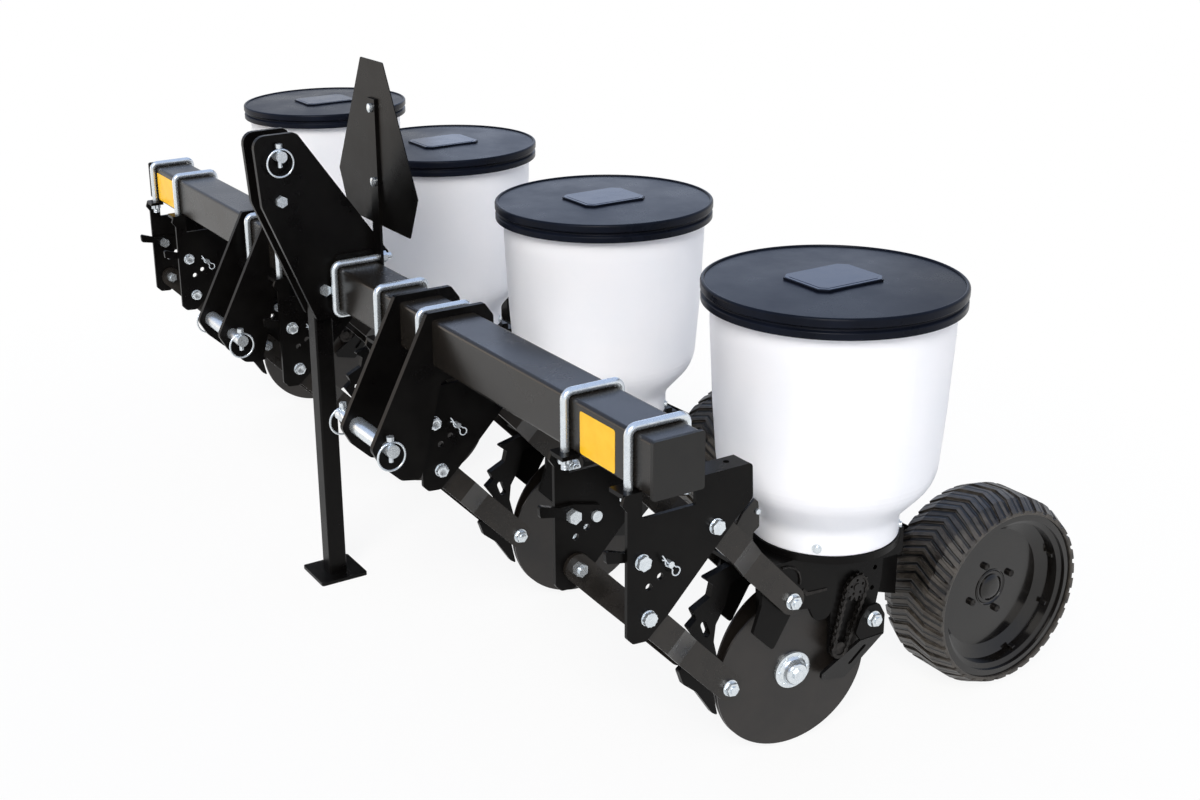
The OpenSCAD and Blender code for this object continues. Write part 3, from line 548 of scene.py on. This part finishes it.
@dataclass(frozen=True)
class Turned:
    """A turned or hexagonal piece, such as a bolt head, a nut or a hub.

    Attributes:
        sides: corners of its outline, 6 for a hexagon.
        radius: outer radius at its foot.
        height: height of the foot's wall.
        steps: how far each next ring goes in and up, as (in, up).
        chamfer: bevel at the upper edge of the foot's wall.
    """

    sides: int
    radius: float
    height: float
    steps: Points = ()
    chamfer: float = 0.0

    def model(self) -> Piece:
        """Models the piece upward from the origin.

        Returns:
            The new object.
        """
        deselect_all()
        bpy.ops.mesh.primitive_cylinder_add(vertices=self.sides, radius=self.radius * MM,
                                            depth=self.height * MM,
                                            location=(0, 0, self.height * MM / 2))
        made = bpy.context.active_object
        bpy.ops.object.transform_apply(location=True, rotation=False, scale=False)
        bpy.ops.object.mode_set(mode="EDIT")
        bpy.ops.mesh.select_mode(type="FACE")
        bpy.ops.mesh.select_all(action="DESELECT")
        shape = bmesh.from_edit_mesh(made.data)
        for face in shape.faces:
            face.select_set(face.normal.z > TOP_NORMAL)
        bmesh.update_edit_mesh(made.data)
        edge = ((self.chamfer, CHAMFER_RISE * self.chamfer),) if self.chamfer else ()
        for inward, upward in edge + self.steps:
            bpy.ops.mesh.inset(thickness=inward * MM, depth=upward * MM, use_even_offset=True)
        bpy.ops.object.mode_set(mode="OBJECT")
        bpy.ops.object.shade_smooth_by_angle(angle=SMOOTH_ANGLE)
        return made


@dataclass(frozen=True)
class Plate:
    """A flat plate with softened edges.

    Attributes:
        outline: its corner points.
        thick: its thickness.
        bevel: the softening of its edges.
    """

    outline: Points
    thick: float
    bevel: float

    def model(self) -> Piece:
        """Cuts the plate in its own XY plane, from z 0 up.

        Returns:
            The new object.
        """
        line = bpy.data.curves.new("plate", "CURVE")
        line.dimensions = "2D"
        line.fill_mode = "BOTH"
        line.extrude = (self.thick / 2 - self.bevel) * MM
        line.bevel_depth = self.bevel * MM
        line.bevel_resolution = 1
        line.offset = -self.bevel * MM
        spline = line.splines.new("POLY")
        spline.points.add(len(self.outline) - 1)
        for knot, (x, y) in zip(spline.points, self.outline):
            knot.co = (x * MM, y * MM, 0.0, 1.0)
        spline.use_cyclic_u = True
        return moved(to_mesh(line), Matrix.Translation((0, 0, self.thick * MM / 2)))

    def model_upright(self, x: float) -> Piece:
        """Cuts the plate upright, its outline as (rearward, upward) and its left face at x."""
        upright = Matrix(((0, 0, 1, 0), (1, 0, 0, 0), (0, 1, 0, 0), (0, 0, 0, 1)))
        return moved(self.model(), Matrix.Translation(at(x, 0, 0)) @ upright)


def rounded_box(wide: float, tall: float, radius: float, corner_steps: int = 4) -> Points:
    """Outline of a rectangle with round corners, about its centre.

    Args:
        wide: its width.
        tall: its height.
        radius: radius of its corners.
        corner_steps: chords in each corner.

    Returns:
        The corner points.
    """
    points = []
    for k, (sx, sy) in enumerate(((1, 1), (-1, 1), (-1, -1), (1, -1))):
        for step in range(corner_steps + 1):
            turn = math.radians(90 * (k + step / corner_steps))
            points.append((sx * (wide / 2 - radius) + radius * math.cos(turn),
                           sy * (tall / 2 - radius) + radius * math.sin(turn)))
    return tuple(points)


# Sub-assemblies


class Assembly(ABC):
    """Small pieces that the solids leave out."""

    @abstractmethod
    def build(self) -> None:
        """Models the pieces, puts them in place and dresses them."""


@dataclass
class ReflectorTapes(Assembly):
    """The two amber reflectors stuck on the front of the toolbar."""

    spans: Points = ((1081.0, 1191.0), (-1229.0, -1089.0))
    low: float = -44.0
    high: float = 36.0
    thick: float = 0.5
    bevel: float = 0.15
    corner: float = 5.0
    glue: float = 0.05

    def build(self) -> None:
        """Cuts each tape and sticks it on the bar's front face."""
        tapes = []
        for first, last in self.spans:
            outline = rounded_box(last - first, self.high - self.low, self.corner)
            place = at((first + last) / 2, -HALF_BAR - self.glue, (self.low + self.high) / 2)
            tapes.append(moved(Plate(outline, self.thick, self.bevel).model(),
                               Matrix.Translation(place) @ QUARTER["X"]))
        fit("reflector_tapes", tapes, AMBER_TAPE, "frame")


@dataclass
class ClampHardware(Assembly):
    """Nuts and threads of the clamp bolts round the toolbar."""

    nut: Turned = Turned(6, 13.85, 12.8, ((2.6, 0.0), (0.8, -0.8)), 1.6)
    nut_height: float = 14.0
    nut_top: float = -58.8
    washer_gap: float = 0.1
    leg: float = 59.0
    offset: float = 99.82
    rod_radius: float = 8.0
    pitch: float = 2.0
    thread_turns: int = 6
    thread_wire: float = 0.5
    points_a_turn: int = 12

    def thread(self) -> Piece:
        """Winds the thread that shows below a nut, upward from the origin."""
        turns = [math.tau * k / self.points_a_turn
                 for k in range(self.points_a_turn * self.thread_turns)]
        return wire([on_circle(self.rod_radius, a) + Vector((0, 0, self.pitch * a / math.tau)) * MM
                     for a in turns], self.thread_wire)

    def build(self) -> None:
        """Models one nut and one thread, and copies them to every leg."""
        down = Vector((0, 0, -1))
        nut, thread = self.nut.model(), self.thread()
        nuts, threads = [], []
        for row in ROWS:
            for side in SIDES:
                x = row_x(row) + side.value * self.offset
                for y in (-self.leg, self.leg):
                    nuts.append(pose(at(x, y, self.nut_top - self.washer_gap), down, 30))
                    threads.append(pose(at(x, y, self.nut_top - self.nut_height), down))
        fit("clamp_nuts", copies(nut, nuts), ZINC_PLATE, "frame")
        fit("clamp_threads", copies(thread, threads), ZINC_PLATE, "frame")


@dataclass
class PivotBolts(Assembly):
    """Bolt heads at the front pivots and the levers, and nuts at the rear pivots and scrapers."""

    head_collar: Turned = Turned(40, 14.6, 1.0, ((0.6, 0.0),), 0.4)
    head_hexagon: Turned = Turned(6, 14.0, 9.6, ((1.4, 0.4), (1.6, -0.6), (1.0, -0.3)), 2.0)
    collar_height: float = 0.6
    washer: Turned = Turned(40, 16.0, 1.6, ((2.8, 0.0),), 0.5)
    nut_hexagon: Turned = Turned(6, 13.6, 9.4, ((1.6, 0.3), (2.6, 0.0)), 1.8)
    bolt_end: Turned = Turned(24, 8.3, 13.4, (), 2.2)
    front_face: float = 120.0
    rear_face: float = 80.3
    scraper_face: float = 76.1
    upper_front: Point = (110.0, -152.0)
    lower_front: Point = (-31.0, -289.0)
    lever: Point = (-44.0, -180.0)
    upper_rear: Point = (321.02, -373.6)
    lower_rear: Point = (180.02, -510.6)
    scraper: Point = (527.0, -470.0)
    head_turns: tuple[float, ...] = (12.0, 29.0, 46.0)
    nut_turn: float = 20.0

    def head(self) -> Piece:
        """Models a chamfered bolt head with a shallow dish and a thin collar."""
        collar, hexagon = self.head_collar.model(), self.head_hexagon.model()
        return joined([collar, moved(hexagon, Matrix.Translation((0, 0, self.collar_height * MM)))])

    def nut(self) -> Piece:
        """Models a washer, a nut and the rounded end of its bolt.

        Returns:
            The nut, upward from the origin.
        """
        parts = [part.model() for part in (self.washer, self.nut_hexagon, self.bolt_end)]
        for part in parts[1:]:
            moved(part, Matrix.Translation((0, 0, self.washer.height * MM)))
        return joined(parts)

    def build(self) -> None:
        """Puts the heads on the frame and the nuts on each unit."""
        heads = []
        for row in ROWS:
            for side in SIDES:
                x, outward = row_x(row) + side.value * self.front_face, Vector((side.value, 0, 0))
                for place, turn in zip((self.upper_front, self.lower_front, self.lever),
                                       self.head_turns):
                    heads.append(pose(at(x, *place), outward, turn))
        fit("pivot_bolt_heads", copies(self.head(), heads), ZINC_PLATE, "frame")
        for row in ROWS:
            nuts = [pose(at(row_x(row) + side.value * face, *place), Vector((side.value, 0, 0)),
                         self.nut_turn)
                    for side in SIDES for face, place in (
                        (self.rear_face, self.upper_rear), (self.rear_face, self.lower_rear),
                        (self.scraper_face, self.scraper))]
            fit(f"pivot_nuts_{row}", copies(self.nut(), nuts), ZINC_PLATE, f"unit_{row}")


@dataclass
class HairpinClips(Assembly):
    """Bent wire clips through the lever pins, outside each bracket plate."""

    pin: Point = (7.0, -193.0)
    aside: float = 130.0
    turn: float = -143.0
    wire_radius: float = 1.4
    straight_leg: Points = ((26.0, 1.2), (-12.0, 3.2))
    loop_centre: float = -20.0
    loop_radius: float = 8.0
    loop_span: Point = (35.0, 325.0)
    loop_chords: int = 14
    waved_leg: Points = (
        (-4.0, -2.6), (0.0, 6.0), (5.0, 7.4), (10.0, 5.6), (14.0, 2.8), (20.0, 6.5))

    def clip(self) -> Piece:
        """Bends one clip in its own XY plane: a straight leg, a loop and a waved leg.

        Returns:
            The clip.
        """
        first, last = self.loop_span
        turns = [math.radians(first + (last - first) * k / self.loop_chords)
                 for k in range(self.loop_chords + 1)]
        loop = tuple((self.loop_radius * math.cos(a) + self.loop_centre,
                      self.loop_radius * math.sin(a)) for a in turns)
        return wire([Vector((x, y, 0)) * MM for x, y in self.straight_leg + loop + self.waved_leg],
                    self.wire_radius)

    def build(self) -> None:
        """Puts a clip in front of each plate."""
        stand = QUARTER["Y"] @ Matrix.Rotation(math.radians(self.turn), 4, "Z")
        places = [Matrix.Translation(at(row_x(row) + side.value * self.aside, *self.pin)) @ stand
                  for row in ROWS for side in SIDES]
        fit("hairpin_clips", copies(self.clip(), places), ZINC_PLATE, "frame")


@dataclass
class LidPads(Assembly):
    """Glossy raised panel on each lid, with a thinner one inside its border; their lighter blue
    grey is a painted reflection of the sky.
    """

    top: float = 209.4
    wide: float = 121.0
    long: float = 151.0
    corner: float = 15.0
    thick: float = 1.0
    bevel: float = 0.3
    border: float = 7.0
    border_step: float = 0.6

    def panel(self, inset: float) -> Plate:
        """A panel with clipped corners, smaller all round by an inset.

        Args:
            inset: how far its edges go in.

        Returns:
            The panel.
        """
        w, h, c = self.wide / 2 - inset, self.long / 2 - inset, self.corner - inset / 2
        outline = ((w - c, h), (c - w, h), (-w, h - c), (-w, c - h), (c - w, -h), (w - c, -h),
                   (w, c - h), (w, h - c))
        return Plate(outline, self.thick, self.bevel)

    def build(self) -> None:
        """Lays both panels on each lid."""
        for row in ROWS:
            panels = [moved(self.panel(inset).model(), Matrix.Translation(
                at(row_x(row), HOPPER_CENTRE_Y, self.top + lift)))
                for inset, lift in ((0.0, 0.0), (self.border, self.border_step))]
            # The panels' lighter blue grey is a painted reflection of the sky
            fit(f"lid_pad_{row}", panels, PAD_SKY_REFLECTION, f"lid_{row}")


@dataclass
class SignBolts(Assembly):
    """Domed bolt heads on the front of the sign's post."""

    head: Turned = Turned(24, 10.0, 5.6, ((2.0, 1.0), (2.6, 0.5)), 1.0)
    x: float = 58.0
    face: float = 51.0
    heights: Point = (236.0, 404.0)

    def build(self) -> None:
        """Puts a head on the post at each bolt."""
        places = [pose(at(self.x, self.face, z), Vector((0, -1, 0))) for z in self.heights]
        fit("sign_bolt_heads", copies(self.head.model(), places), ZINC_PLATE, "frame")


@dataclass
class HopperLatches(Assembly):
    """Latch plate with its shelf and bolt on the deck in front of each hopper."""

    x: float = 56.0
    upright: Plate = Plate(
        ((233.0, -297.2), (212.0, -236.0), (200.0, -196.0), (214.0, -176.0), (240.0, -154.0),
         (248.0, -162.0), (251.0, -184.0), (252.0, -211.0), (238.0, -222.0), (240.0, -297.2)),
        thick=6.0, bevel=0.8)
    shelf: Plate = Plate(rounded_box(44.0, 50.0, 5.0), thick=4.0, bevel=0.8)
    shelf_place: Place = (-18.0, 229.0, -216.0)
    bolt: Turned = Turned(6, 5.5, 4.0, ((1.0, 0.0),), 0.8)
    bolt_place: Place = (5.8, 246.0, -180.0)

    def build(self) -> None:
        """Stands a plate on the deck beside a level shelf, with a small bolt."""
        for row in ROWS:
            x = row_x(row) + self.x
            upright = self.upright.model_upright(x)
            aside, y, z = self.shelf_place
            shelf = moved(self.shelf.model(), Matrix.Translation(at(x + aside, y, z)))
            # The latch plates take the tube's coat, whose lighter colour is painted light
            fit(f"hopper_latch_{row}", [upright, shelf], TUBE_COAT_PAINTED_LIGHT, f"unit_{row}")
            aside, y, z = self.bolt_place
            bolt = moved(self.bolt.model(), pose(at(x + aside, y, z), Vector((1, 0, 0))))
            fit(f"latch_bolt_{row}", [bolt], ZINC_PLATE, f"unit_{row}")


@dataclass
class MeterTrim(Assembly):
    """A dark strip and a bent rod beside each seed meter."""

    strip_face: float = 68.1
    strip: Plate = Plate(((352.0, -366.0), (362.0, -379.0), (412.0, -381.0), (413.0, -376.0),
                          (366.0, -372.0), (356.0, -362.0)), thick=1.6, bevel=0.3)
    rod_aside: float = 69.8
    rod_radius: float = 2.0
    rod_bend: Points = ((302.0, -306.0), (318.0, -307.0), (332.0, -314.0), (342.0, -326.0),
                        (346.0, -340.0), (345.0, -350.0))

    def build(self) -> None:
        """Lays the strip and the rod on each unit's cheek."""
        for row in ROWS:
            strip = self.strip.model_upright(row_x(row) + self.strip_face)
            fit(f"meter_strip_{row}", [strip], CHAIN_STEEL, f"unit_{row}")
            rod = wire([at(row_x(row) + self.rod_aside, y, z) for y, z in self.rod_bend],
                       self.rod_radius)
            fit(f"meter_rod_{row}", [rod], CHAIN_STEEL, f"unit_{row}")


@dataclass
class ArmClips(Assembly):
    """Oval safety clip with a red tag on each wheel arm."""

    arm_face: float = -99.4
    wire_radius: float = 1.5
    ring_centre: Point = (780.0, -452.0)
    ring_half: Point = (6.5, 15.0)
    ring_slant: float = 0.25
    ring_aside: float = 1.4
    ring_points: int = 20
    sunk: float = 0.4
    head: Turned = Turned(20, 6.0, 5.0, ((1.6, 0.6),), 1.0)
    head_place: Point = (788.0, -434.0)
    tag: Turned = Turned(12, 4.0, 4.0, ((1.0, 0.4),), 0.8)
    tag_place: Point = (800.0, -444.0)

    def ring(self, x: float) -> Piece:
        """Bends the oval ring beside the arm.

        Args:
            x: the place of the arm's inner face.

        Returns:
            The ring.
        """
        half_wide, half_tall = self.ring_half
        points = []
        for k in range(self.ring_points):
            turn = math.tau * k / self.ring_points
            y, z = half_wide * math.cos(turn), half_tall * math.sin(turn)
            points.append(at(x + self.ring_aside, self.ring_centre[0] + y + self.ring_slant * z,
                             self.ring_centre[1] + z))
        return wire(points, self.wire_radius, True)

    def build(self) -> None:
        """Hangs the ring from its head, and sets the tag behind it."""
        inward = Vector((1, 0, 0))
        for row in ROWS:
            x = row_x(row) + self.arm_face
            ring = self.ring(x)
            head = moved(self.head.model(), pose(at(x - self.sunk, *self.head_place), inward))
            fit(f"arm_clip_{row}", [ring, head], ZINC_PLATE, f"unit_{row}")
            tag = moved(self.tag.model(), pose(at(x - self.sunk, *self.tag_place), inward))
            fit(f"arm_tag_{row}", [tag], RED_PLASTIC, f"unit_{row}")


@dataclass
class DiscHubs(Assembly):
    """Plated hub with rings and rivets outside each opener disc."""

    centre: Point = (372.0, -557.726)
    offset: float = 21.988
    toe: float = 6.0
    lean: float = 3.0
    face: float = 2.1
    hub: Turned = Turned(72, 38.4, 5.3, (
        (1.6, 0.3), (4.0, 0.0), (0.8, -0.5), (1.2, 0.0), (0.8, 0.8), (2.6, 1.2), (2.2, 2.6),
        (0.8, 5.4), (1.0, 4.6), (1.4, 1.8), (1.6, 0.4), (2.2, 0.0)), 0.9)
    bolt: Turned = Turned(6, 11.3, 26.4, ((1.2, 0.0), (0.8, -0.5)), 1.2)
    rivet: Turned = Turned(16, 3.4, 7.0, ((0.7, 0.4), (1.1, 0.3)), 0.6)
    rivets: int = 6
    rivet_circle: float = 31.0

    def axis(self, side: Side) -> Vector:
        """Gives the outward direction of the axle of a disc on a side of its row."""
        toe, lean = math.radians(self.toe), math.radians(self.lean)
        return Vector((side.value * math.cos(lean) * math.cos(toe), -math.sin(toe) * math.cos(lean),
                       -math.sin(lean)))

    def build(self) -> None:
        """Models a hub for each disc and stands it on the disc's axle."""
        for row in ROWS:
            for side in SIDES:
                hub, bolt = self.hub.model(), self.bolt.model()
                rivets = copies(self.rivet.model(), [
                    Matrix.Translation(on_circle(self.rivet_circle, math.tau * k / self.rivets))
                    for k in range(self.rivets)])
                place = pose(at(row_x(row) + side.value * self.offset, *self.centre),
                             self.axis(side)) @ Matrix.Translation((0, 0, self.face * MM))
                parts = [moved(part, place) for part in [hub, bolt] + rivets]
                name = side.name.lower()
                fit(f"disc_hub_{name}_{row}", parts, ZINC_PLATE, f"disc_{name}_{row}")


@dataclass
class HopperBolts(Assembly):
    """Bolt heads low on each hopper's neck, on the diagonals."""

    head: Turned = Turned(32, 9.0, 1.2, ((2.6, 0.0), (0.0, 3.6), (1.0, 0.5)), 0.4)
    neck: float = 141.0
    height: float = -268.0
    count: int = 4

    def build(self) -> None:
        """Puts the heads on each hopper."""
        for row in ROWS:
            spots = []
            for k in range(self.count):
                turn = math.tau * (k + 0.5) / self.count
                out = Vector((math.cos(turn), math.sin(turn), 0))
                spots.append(pose(at(row_x(row) + out.x * self.neck,
                                     HOPPER_CENTRE_Y + out.y * self.neck, self.height), out))
            fit(f"hopper_bolts_{row}", copies(self.head.model(), spots), ZINC_PLATE, f"unit_{row}")


@dataclass
class WheelHardware(Assembly):
    """Hub ring, domed hub, studs and tabs in the dish of each press wheel."""

    web_face: float = 27.9
    ring: Turned = Turned(64, 40.0, 1.6, ((1.6, 0.8), (1.6, -0.8), (1.0, -1.2), (3.0, 0.0)), 0.6)
    hub: Turned = Turned(48, 29.0, 3.0, ((2.0, 1.6), (4.0, 2.4), (5.0, 1.6), (6.0, 0.6)), 1.0)
    stud: Turned = Turned(20, 7.4, 7.0, ((1.6, 0.3), (0.8, -0.8)), 0.8)
    stud_turns: tuple[float, ...] = (-70.0, 20.0, 110.0, 200.0)
    stud_circle: float = 56.0
    tab: Plate = Plate(rounded_box(9.0, 14.0, 1.5), thick=7.0, bevel=0.8)
    tab_turns: tuple[float, ...] = (-70.0, -25.0, 18.0)
    tab_height: float = 24.0
    barrel: float = 154.5

    def spot(self, radius: float, turn: float, height: float = 0.0) -> Matrix:
        """Gives a place in the dish, its Y pointing away from the axle.

        Args:
            radius: distance from the axle.
            turn: turn about the axle, in degrees.
            height: distance from the web.

        Returns:
            The matrix, about the wheel's own axle.
        """
        a = math.radians(turn)
        place = on_circle(radius, a + math.pi / 2) + Vector((0, 0, height * MM))
        return Matrix.Translation(place) @ Matrix.Rotation(a, 4, "Z")

    def build(self) -> None:
        """Puts the ring, the hub, the studs and the tabs on each wheel."""
        for row in ROWS:
            base = Matrix.Translation(at(row_x(row) + self.web_face, *WHEEL_CENTRE)) @ QUARTER["Y"]
            centre = [moved(part.model(), base) for part in (self.ring, self.hub)]
            fit(f"wheel_ring_{row}", centre, RIM_PAINT, f"wheel_{row}")
            studs = copies(self.stud.model(), [
                base @ self.spot(self.stud_circle, turn) @ QUARTER["Z"]
                for turn in self.stud_turns])
            fit(f"wheel_studs_{row}", studs, CHAIN_STEEL, f"wheel_{row}")
            tabs = copies(self.tab.model(), [
                base @ self.spot(self.barrel, turn, self.tab_height) @ QUARTER["X"]
                for turn in self.tab_turns])
            fit(f"wheel_tabs_{row}", tabs, RIM_PAINT, f"wheel_{row}")


# Studio


@dataclass(frozen=True)
class SoftLamp:
    """A square soft lamp that faces the planter, placed and sized in metres."""

    name: str
    place: Place
    size: float
    watts: float
    colour: str
    aim: Place = (0.3, 0.4, 0.6)

    def build(self) -> None:
        """Hangs the lamp."""
        light = bpy.data.lights.new(self.name, "AREA")
        light.size = self.size
        light.energy = self.watts
        light.color = linear(self.colour)[:3]
        lamp = bpy.data.objects.new(self.name, light)
        bpy.context.scene.collection.objects.link(lamp)
        place = Vector(self.place)
        turn = (Vector(self.aim) - place).to_track_quat("-Z", "Y").to_matrix().to_4x4()
        lamp.matrix_world = Matrix.Translation(place) @ turn


@dataclass(frozen=True)
class Sun:
    """An even soft light from far away, with the way to it and its spread in degrees."""

    name: str
    way: Point
    strength: float
    spread: float
    colour: str
    distance: float = 4.0

    def build(self) -> None:
        """Sets the light."""
        light = bpy.data.lights.new(self.name, "SUN")
        light.energy = self.strength
        light.angle = math.radians(self.spread)
        light.color = linear(self.colour)[:3]
        sun = bpy.data.objects.new(self.name, light)
        bpy.context.scene.collection.objects.link(sun)
        back = direction(*self.way)
        turn = back.to_track_quat("Z", "Y").to_matrix().to_4x4()
        sun.matrix_world = Matrix.Translation(self.distance * back) @ turn


@dataclass
class Camera:
    """The photograph's camera, solved from edges of the toolbar and round parts.

    Its way back and its roll are in degrees, its place and clipping in metres.
    """

    way: Point = (60.660, 18.189)
    roll: float = -1.336
    eye: Place = (3.279205, -1.359392, 1.763218)
    lens: float = 48.055
    shift: Point = (0.08076, -0.05740)
    sensor_width: float = 36.0
    clip: Point = (0.05, 100.0)

    def build(self) -> None:
        """Puts the camera where the photograph was taken."""
        lens = bpy.data.cameras.new("photo_camera")
        lens.sensor_width = self.sensor_width
        lens.sensor_fit = "HORIZONTAL"
        lens.lens = self.lens
        lens.shift_x, lens.shift_y = self.shift
        lens.clip_start, lens.clip_end = self.clip
        eye = bpy.data.objects.new("photo_camera", lens)
        bpy.context.scene.collection.objects.link(eye)
        roll = math.radians(self.roll)
        back = direction(*self.way)
        level = Vector((0, 0, 1)).cross(back).normalized()
        over = back.cross(level)
        right = math.cos(roll) * level + math.sin(roll) * over
        up = -math.sin(roll) * level + math.cos(roll) * over
        turn = Matrix((right, up, back)).transposed().to_4x4()
        eye.matrix_world = Matrix.Translation(Vector(self.eye)) @ turn
        bpy.context.scene.camera = eye


def background_rays(tree: Tree) -> Socket:
    """Gives 1 for the camera, mirror and clear rays, which see the white background.

    Args:
        tree: the tree of the floor or the world.

    Returns:
        The share, 0 or 1.
    """
    rays = add_node(tree, "ShaderNodeLightPath")
    seen = rays.outputs["Is Camera Ray"]
    for name in ("Is Glossy Ray", "Is Transmission Ray"):
        seen = add_node(tree, "ShaderNodeMath", {"operation": "MAXIMUM"}, {
            0: seen, 1: rays.outputs[name]}).outputs[0]
    return seen


@dataclass
class Sky:
    """Even light from all round: cool above and warm low down.

    The camera and mirrors see it white near the horizon, and in mirror_tint from high_from up,
    the sine of an elevation.
    """

    low_tint: str = "#e6ddd2"
    high_tint: str = "#c8d6ee"
    mirror_tint: str = "#bcd0f4"
    strength: float = 0.7
    high_from: float = 0.5

    def build(self) -> None:
        """Makes the world's nodes."""
        world = bpy.data.worlds.new("studio")
        bpy.context.scene.world = world
        world.use_nodes = True
        tree = world.node_tree
        tree.nodes.clear()
        way = add_node(tree, "ShaderNodeTexCoord").outputs["Generated"]
        upward = add_node(tree, "ShaderNodeSeparateXYZ", inputs={"Vector": way}).outputs["Z"]
        high = add_node(tree, "ShaderNodeMapRange", inputs={
            "Value": upward, "From Max": self.high_from}).outputs["Result"]
        tint = add_node(tree, "ShaderNodeMix", {"data_type": "RGBA"}, {
            0: high, MIX_A: linear(self.low_tint),
            MIX_B: linear(self.high_tint)}).outputs[MIX_RESULT]
        sky = add_node(tree, "ShaderNodeBackground", inputs={
            "Color": tint, "Strength": self.strength})
        pale = add_node(tree, "ShaderNodeMix", {"data_type": "RGBA"}, {
            0: high, MIX_A: (1.0, 1.0, 1.0, 1.0),
            MIX_B: linear(self.mirror_tint)}).outputs[MIX_RESULT]
        white = add_node(tree, "ShaderNodeBackground", inputs={"Color": pale})
        both = add_node(tree, "ShaderNodeMixShader", inputs={
            0: background_rays(tree), 1: sky.outputs[0], 2: white.outputs[0]})
        add_node(tree, "ShaderNodeOutputWorld", inputs={"Surface": both.outputs[0]})


@dataclass
class Floor:
    """Pale paper, in metres, that looks white and keeps a faint shadow near the planter.

    The whiteness grows from its first share to its last between the two distances of
    shadow_reach, where the shadow fades out.
    """

    size: float = 60.0
    drop: float = 0.0005
    tints: tuple[str, str] = ("#f4f2ef", "#faf9f7")
    patches: float = 0.6
    shadow_reach: Point = (1.2, 2.6)
    whiteness: Point = (0.88, 1.0)

    def paper(self) -> bpy.types.Material:
        """Makes the paper's material.

        Returns:
            The new material.
        """
        paper = bpy.data.materials.new("studio_paper")
        paper.use_nodes = True
        tree = paper.node_tree
        tree.nodes.clear()
        place = add_node(tree, "ShaderNodeTexCoord").outputs["Object"]
        mottle = add_node(tree, "ShaderNodeTexNoise", inputs={
            "Vector": place, "Scale": self.patches}).outputs["Fac"]
        tint = add_node(tree, "ShaderNodeMix", {"data_type": "RGBA"}, {
            0: mottle, MIX_A: linear(self.tints[0]),
            MIX_B: linear(self.tints[1])}).outputs[MIX_RESULT]
        matt = add_node(tree, "ShaderNodeBsdfDiffuse", inputs={"Color": tint})
        glow = add_node(tree, "ShaderNodeEmission")
        away = add_node(tree, "ShaderNodeVectorMath", {"operation": "LENGTH"}, {
            0: place}).outputs["Value"]
        white = add_node(tree, "ShaderNodeMapRange", inputs={
            "Value": away, "From Min": self.shadow_reach[0], "From Max": self.shadow_reach[1],
            "To Min": self.whiteness[0], "To Max": self.whiteness[1]}).outputs["Result"]
        share = add_node(tree, "ShaderNodeMath", {"operation": "MULTIPLY"}, {
            0: background_rays(tree), 1: white})
        both = add_node(tree, "ShaderNodeMixShader", inputs={
            0: share.outputs[0], 1: matt.outputs[0], 2: glow.outputs[0]})
        add_node(tree, "ShaderNodeOutputMaterial", inputs={"Surface": both.outputs[0]})
        return paper

    def build(self) -> None:
        """Lays the floor."""
        deselect_all()
        bpy.ops.mesh.primitive_plane_add(size=self.size, location=(0, 0, -self.drop))
        floor = bpy.context.active_object
        floor.name = "studio_floor"
        floor.data.materials.append(self.paper())


def build_studio() -> None:
    """Sets up the camera, the sky, the floor and the lights."""
    bpy.context.scene.view_settings.view_transform = "Standard"
    for item in (Camera(), Sky(), Floor(),
                 Sun("key_sun", (48.0, 40.0), 2.5, 30.0, "#fffaf2"),
                 SoftLamp("front_lamp", (-3.6, -3.2, 1.0), 2.4, 22.0, "#ffe2c0"),
                 SoftLamp("back_lamp", (-3.4, 3.4, 2.4), 2.6, 12.0, "#bcd4ff")):
        item.build()


def main() -> None:
    """Builds the studio and every piece, and logs them."""
    logging.basicConfig(level=logging.INFO, format="%(message)s")
    build_studio()
    dress_nodes(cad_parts)
    for assembly in (ReflectorTapes(), ClampHardware(), PivotBolts(), HairpinClips(), LidPads(),
                     SignBolts(), HopperLatches(), MeterTrim(), ArmClips(), DiscHubs(),
                     HopperBolts(), WheelHardware()):
        LOG.info("assembly %s", type(assembly).__name__)
        assembly.build()


if __name__ == "__main__":
    main()
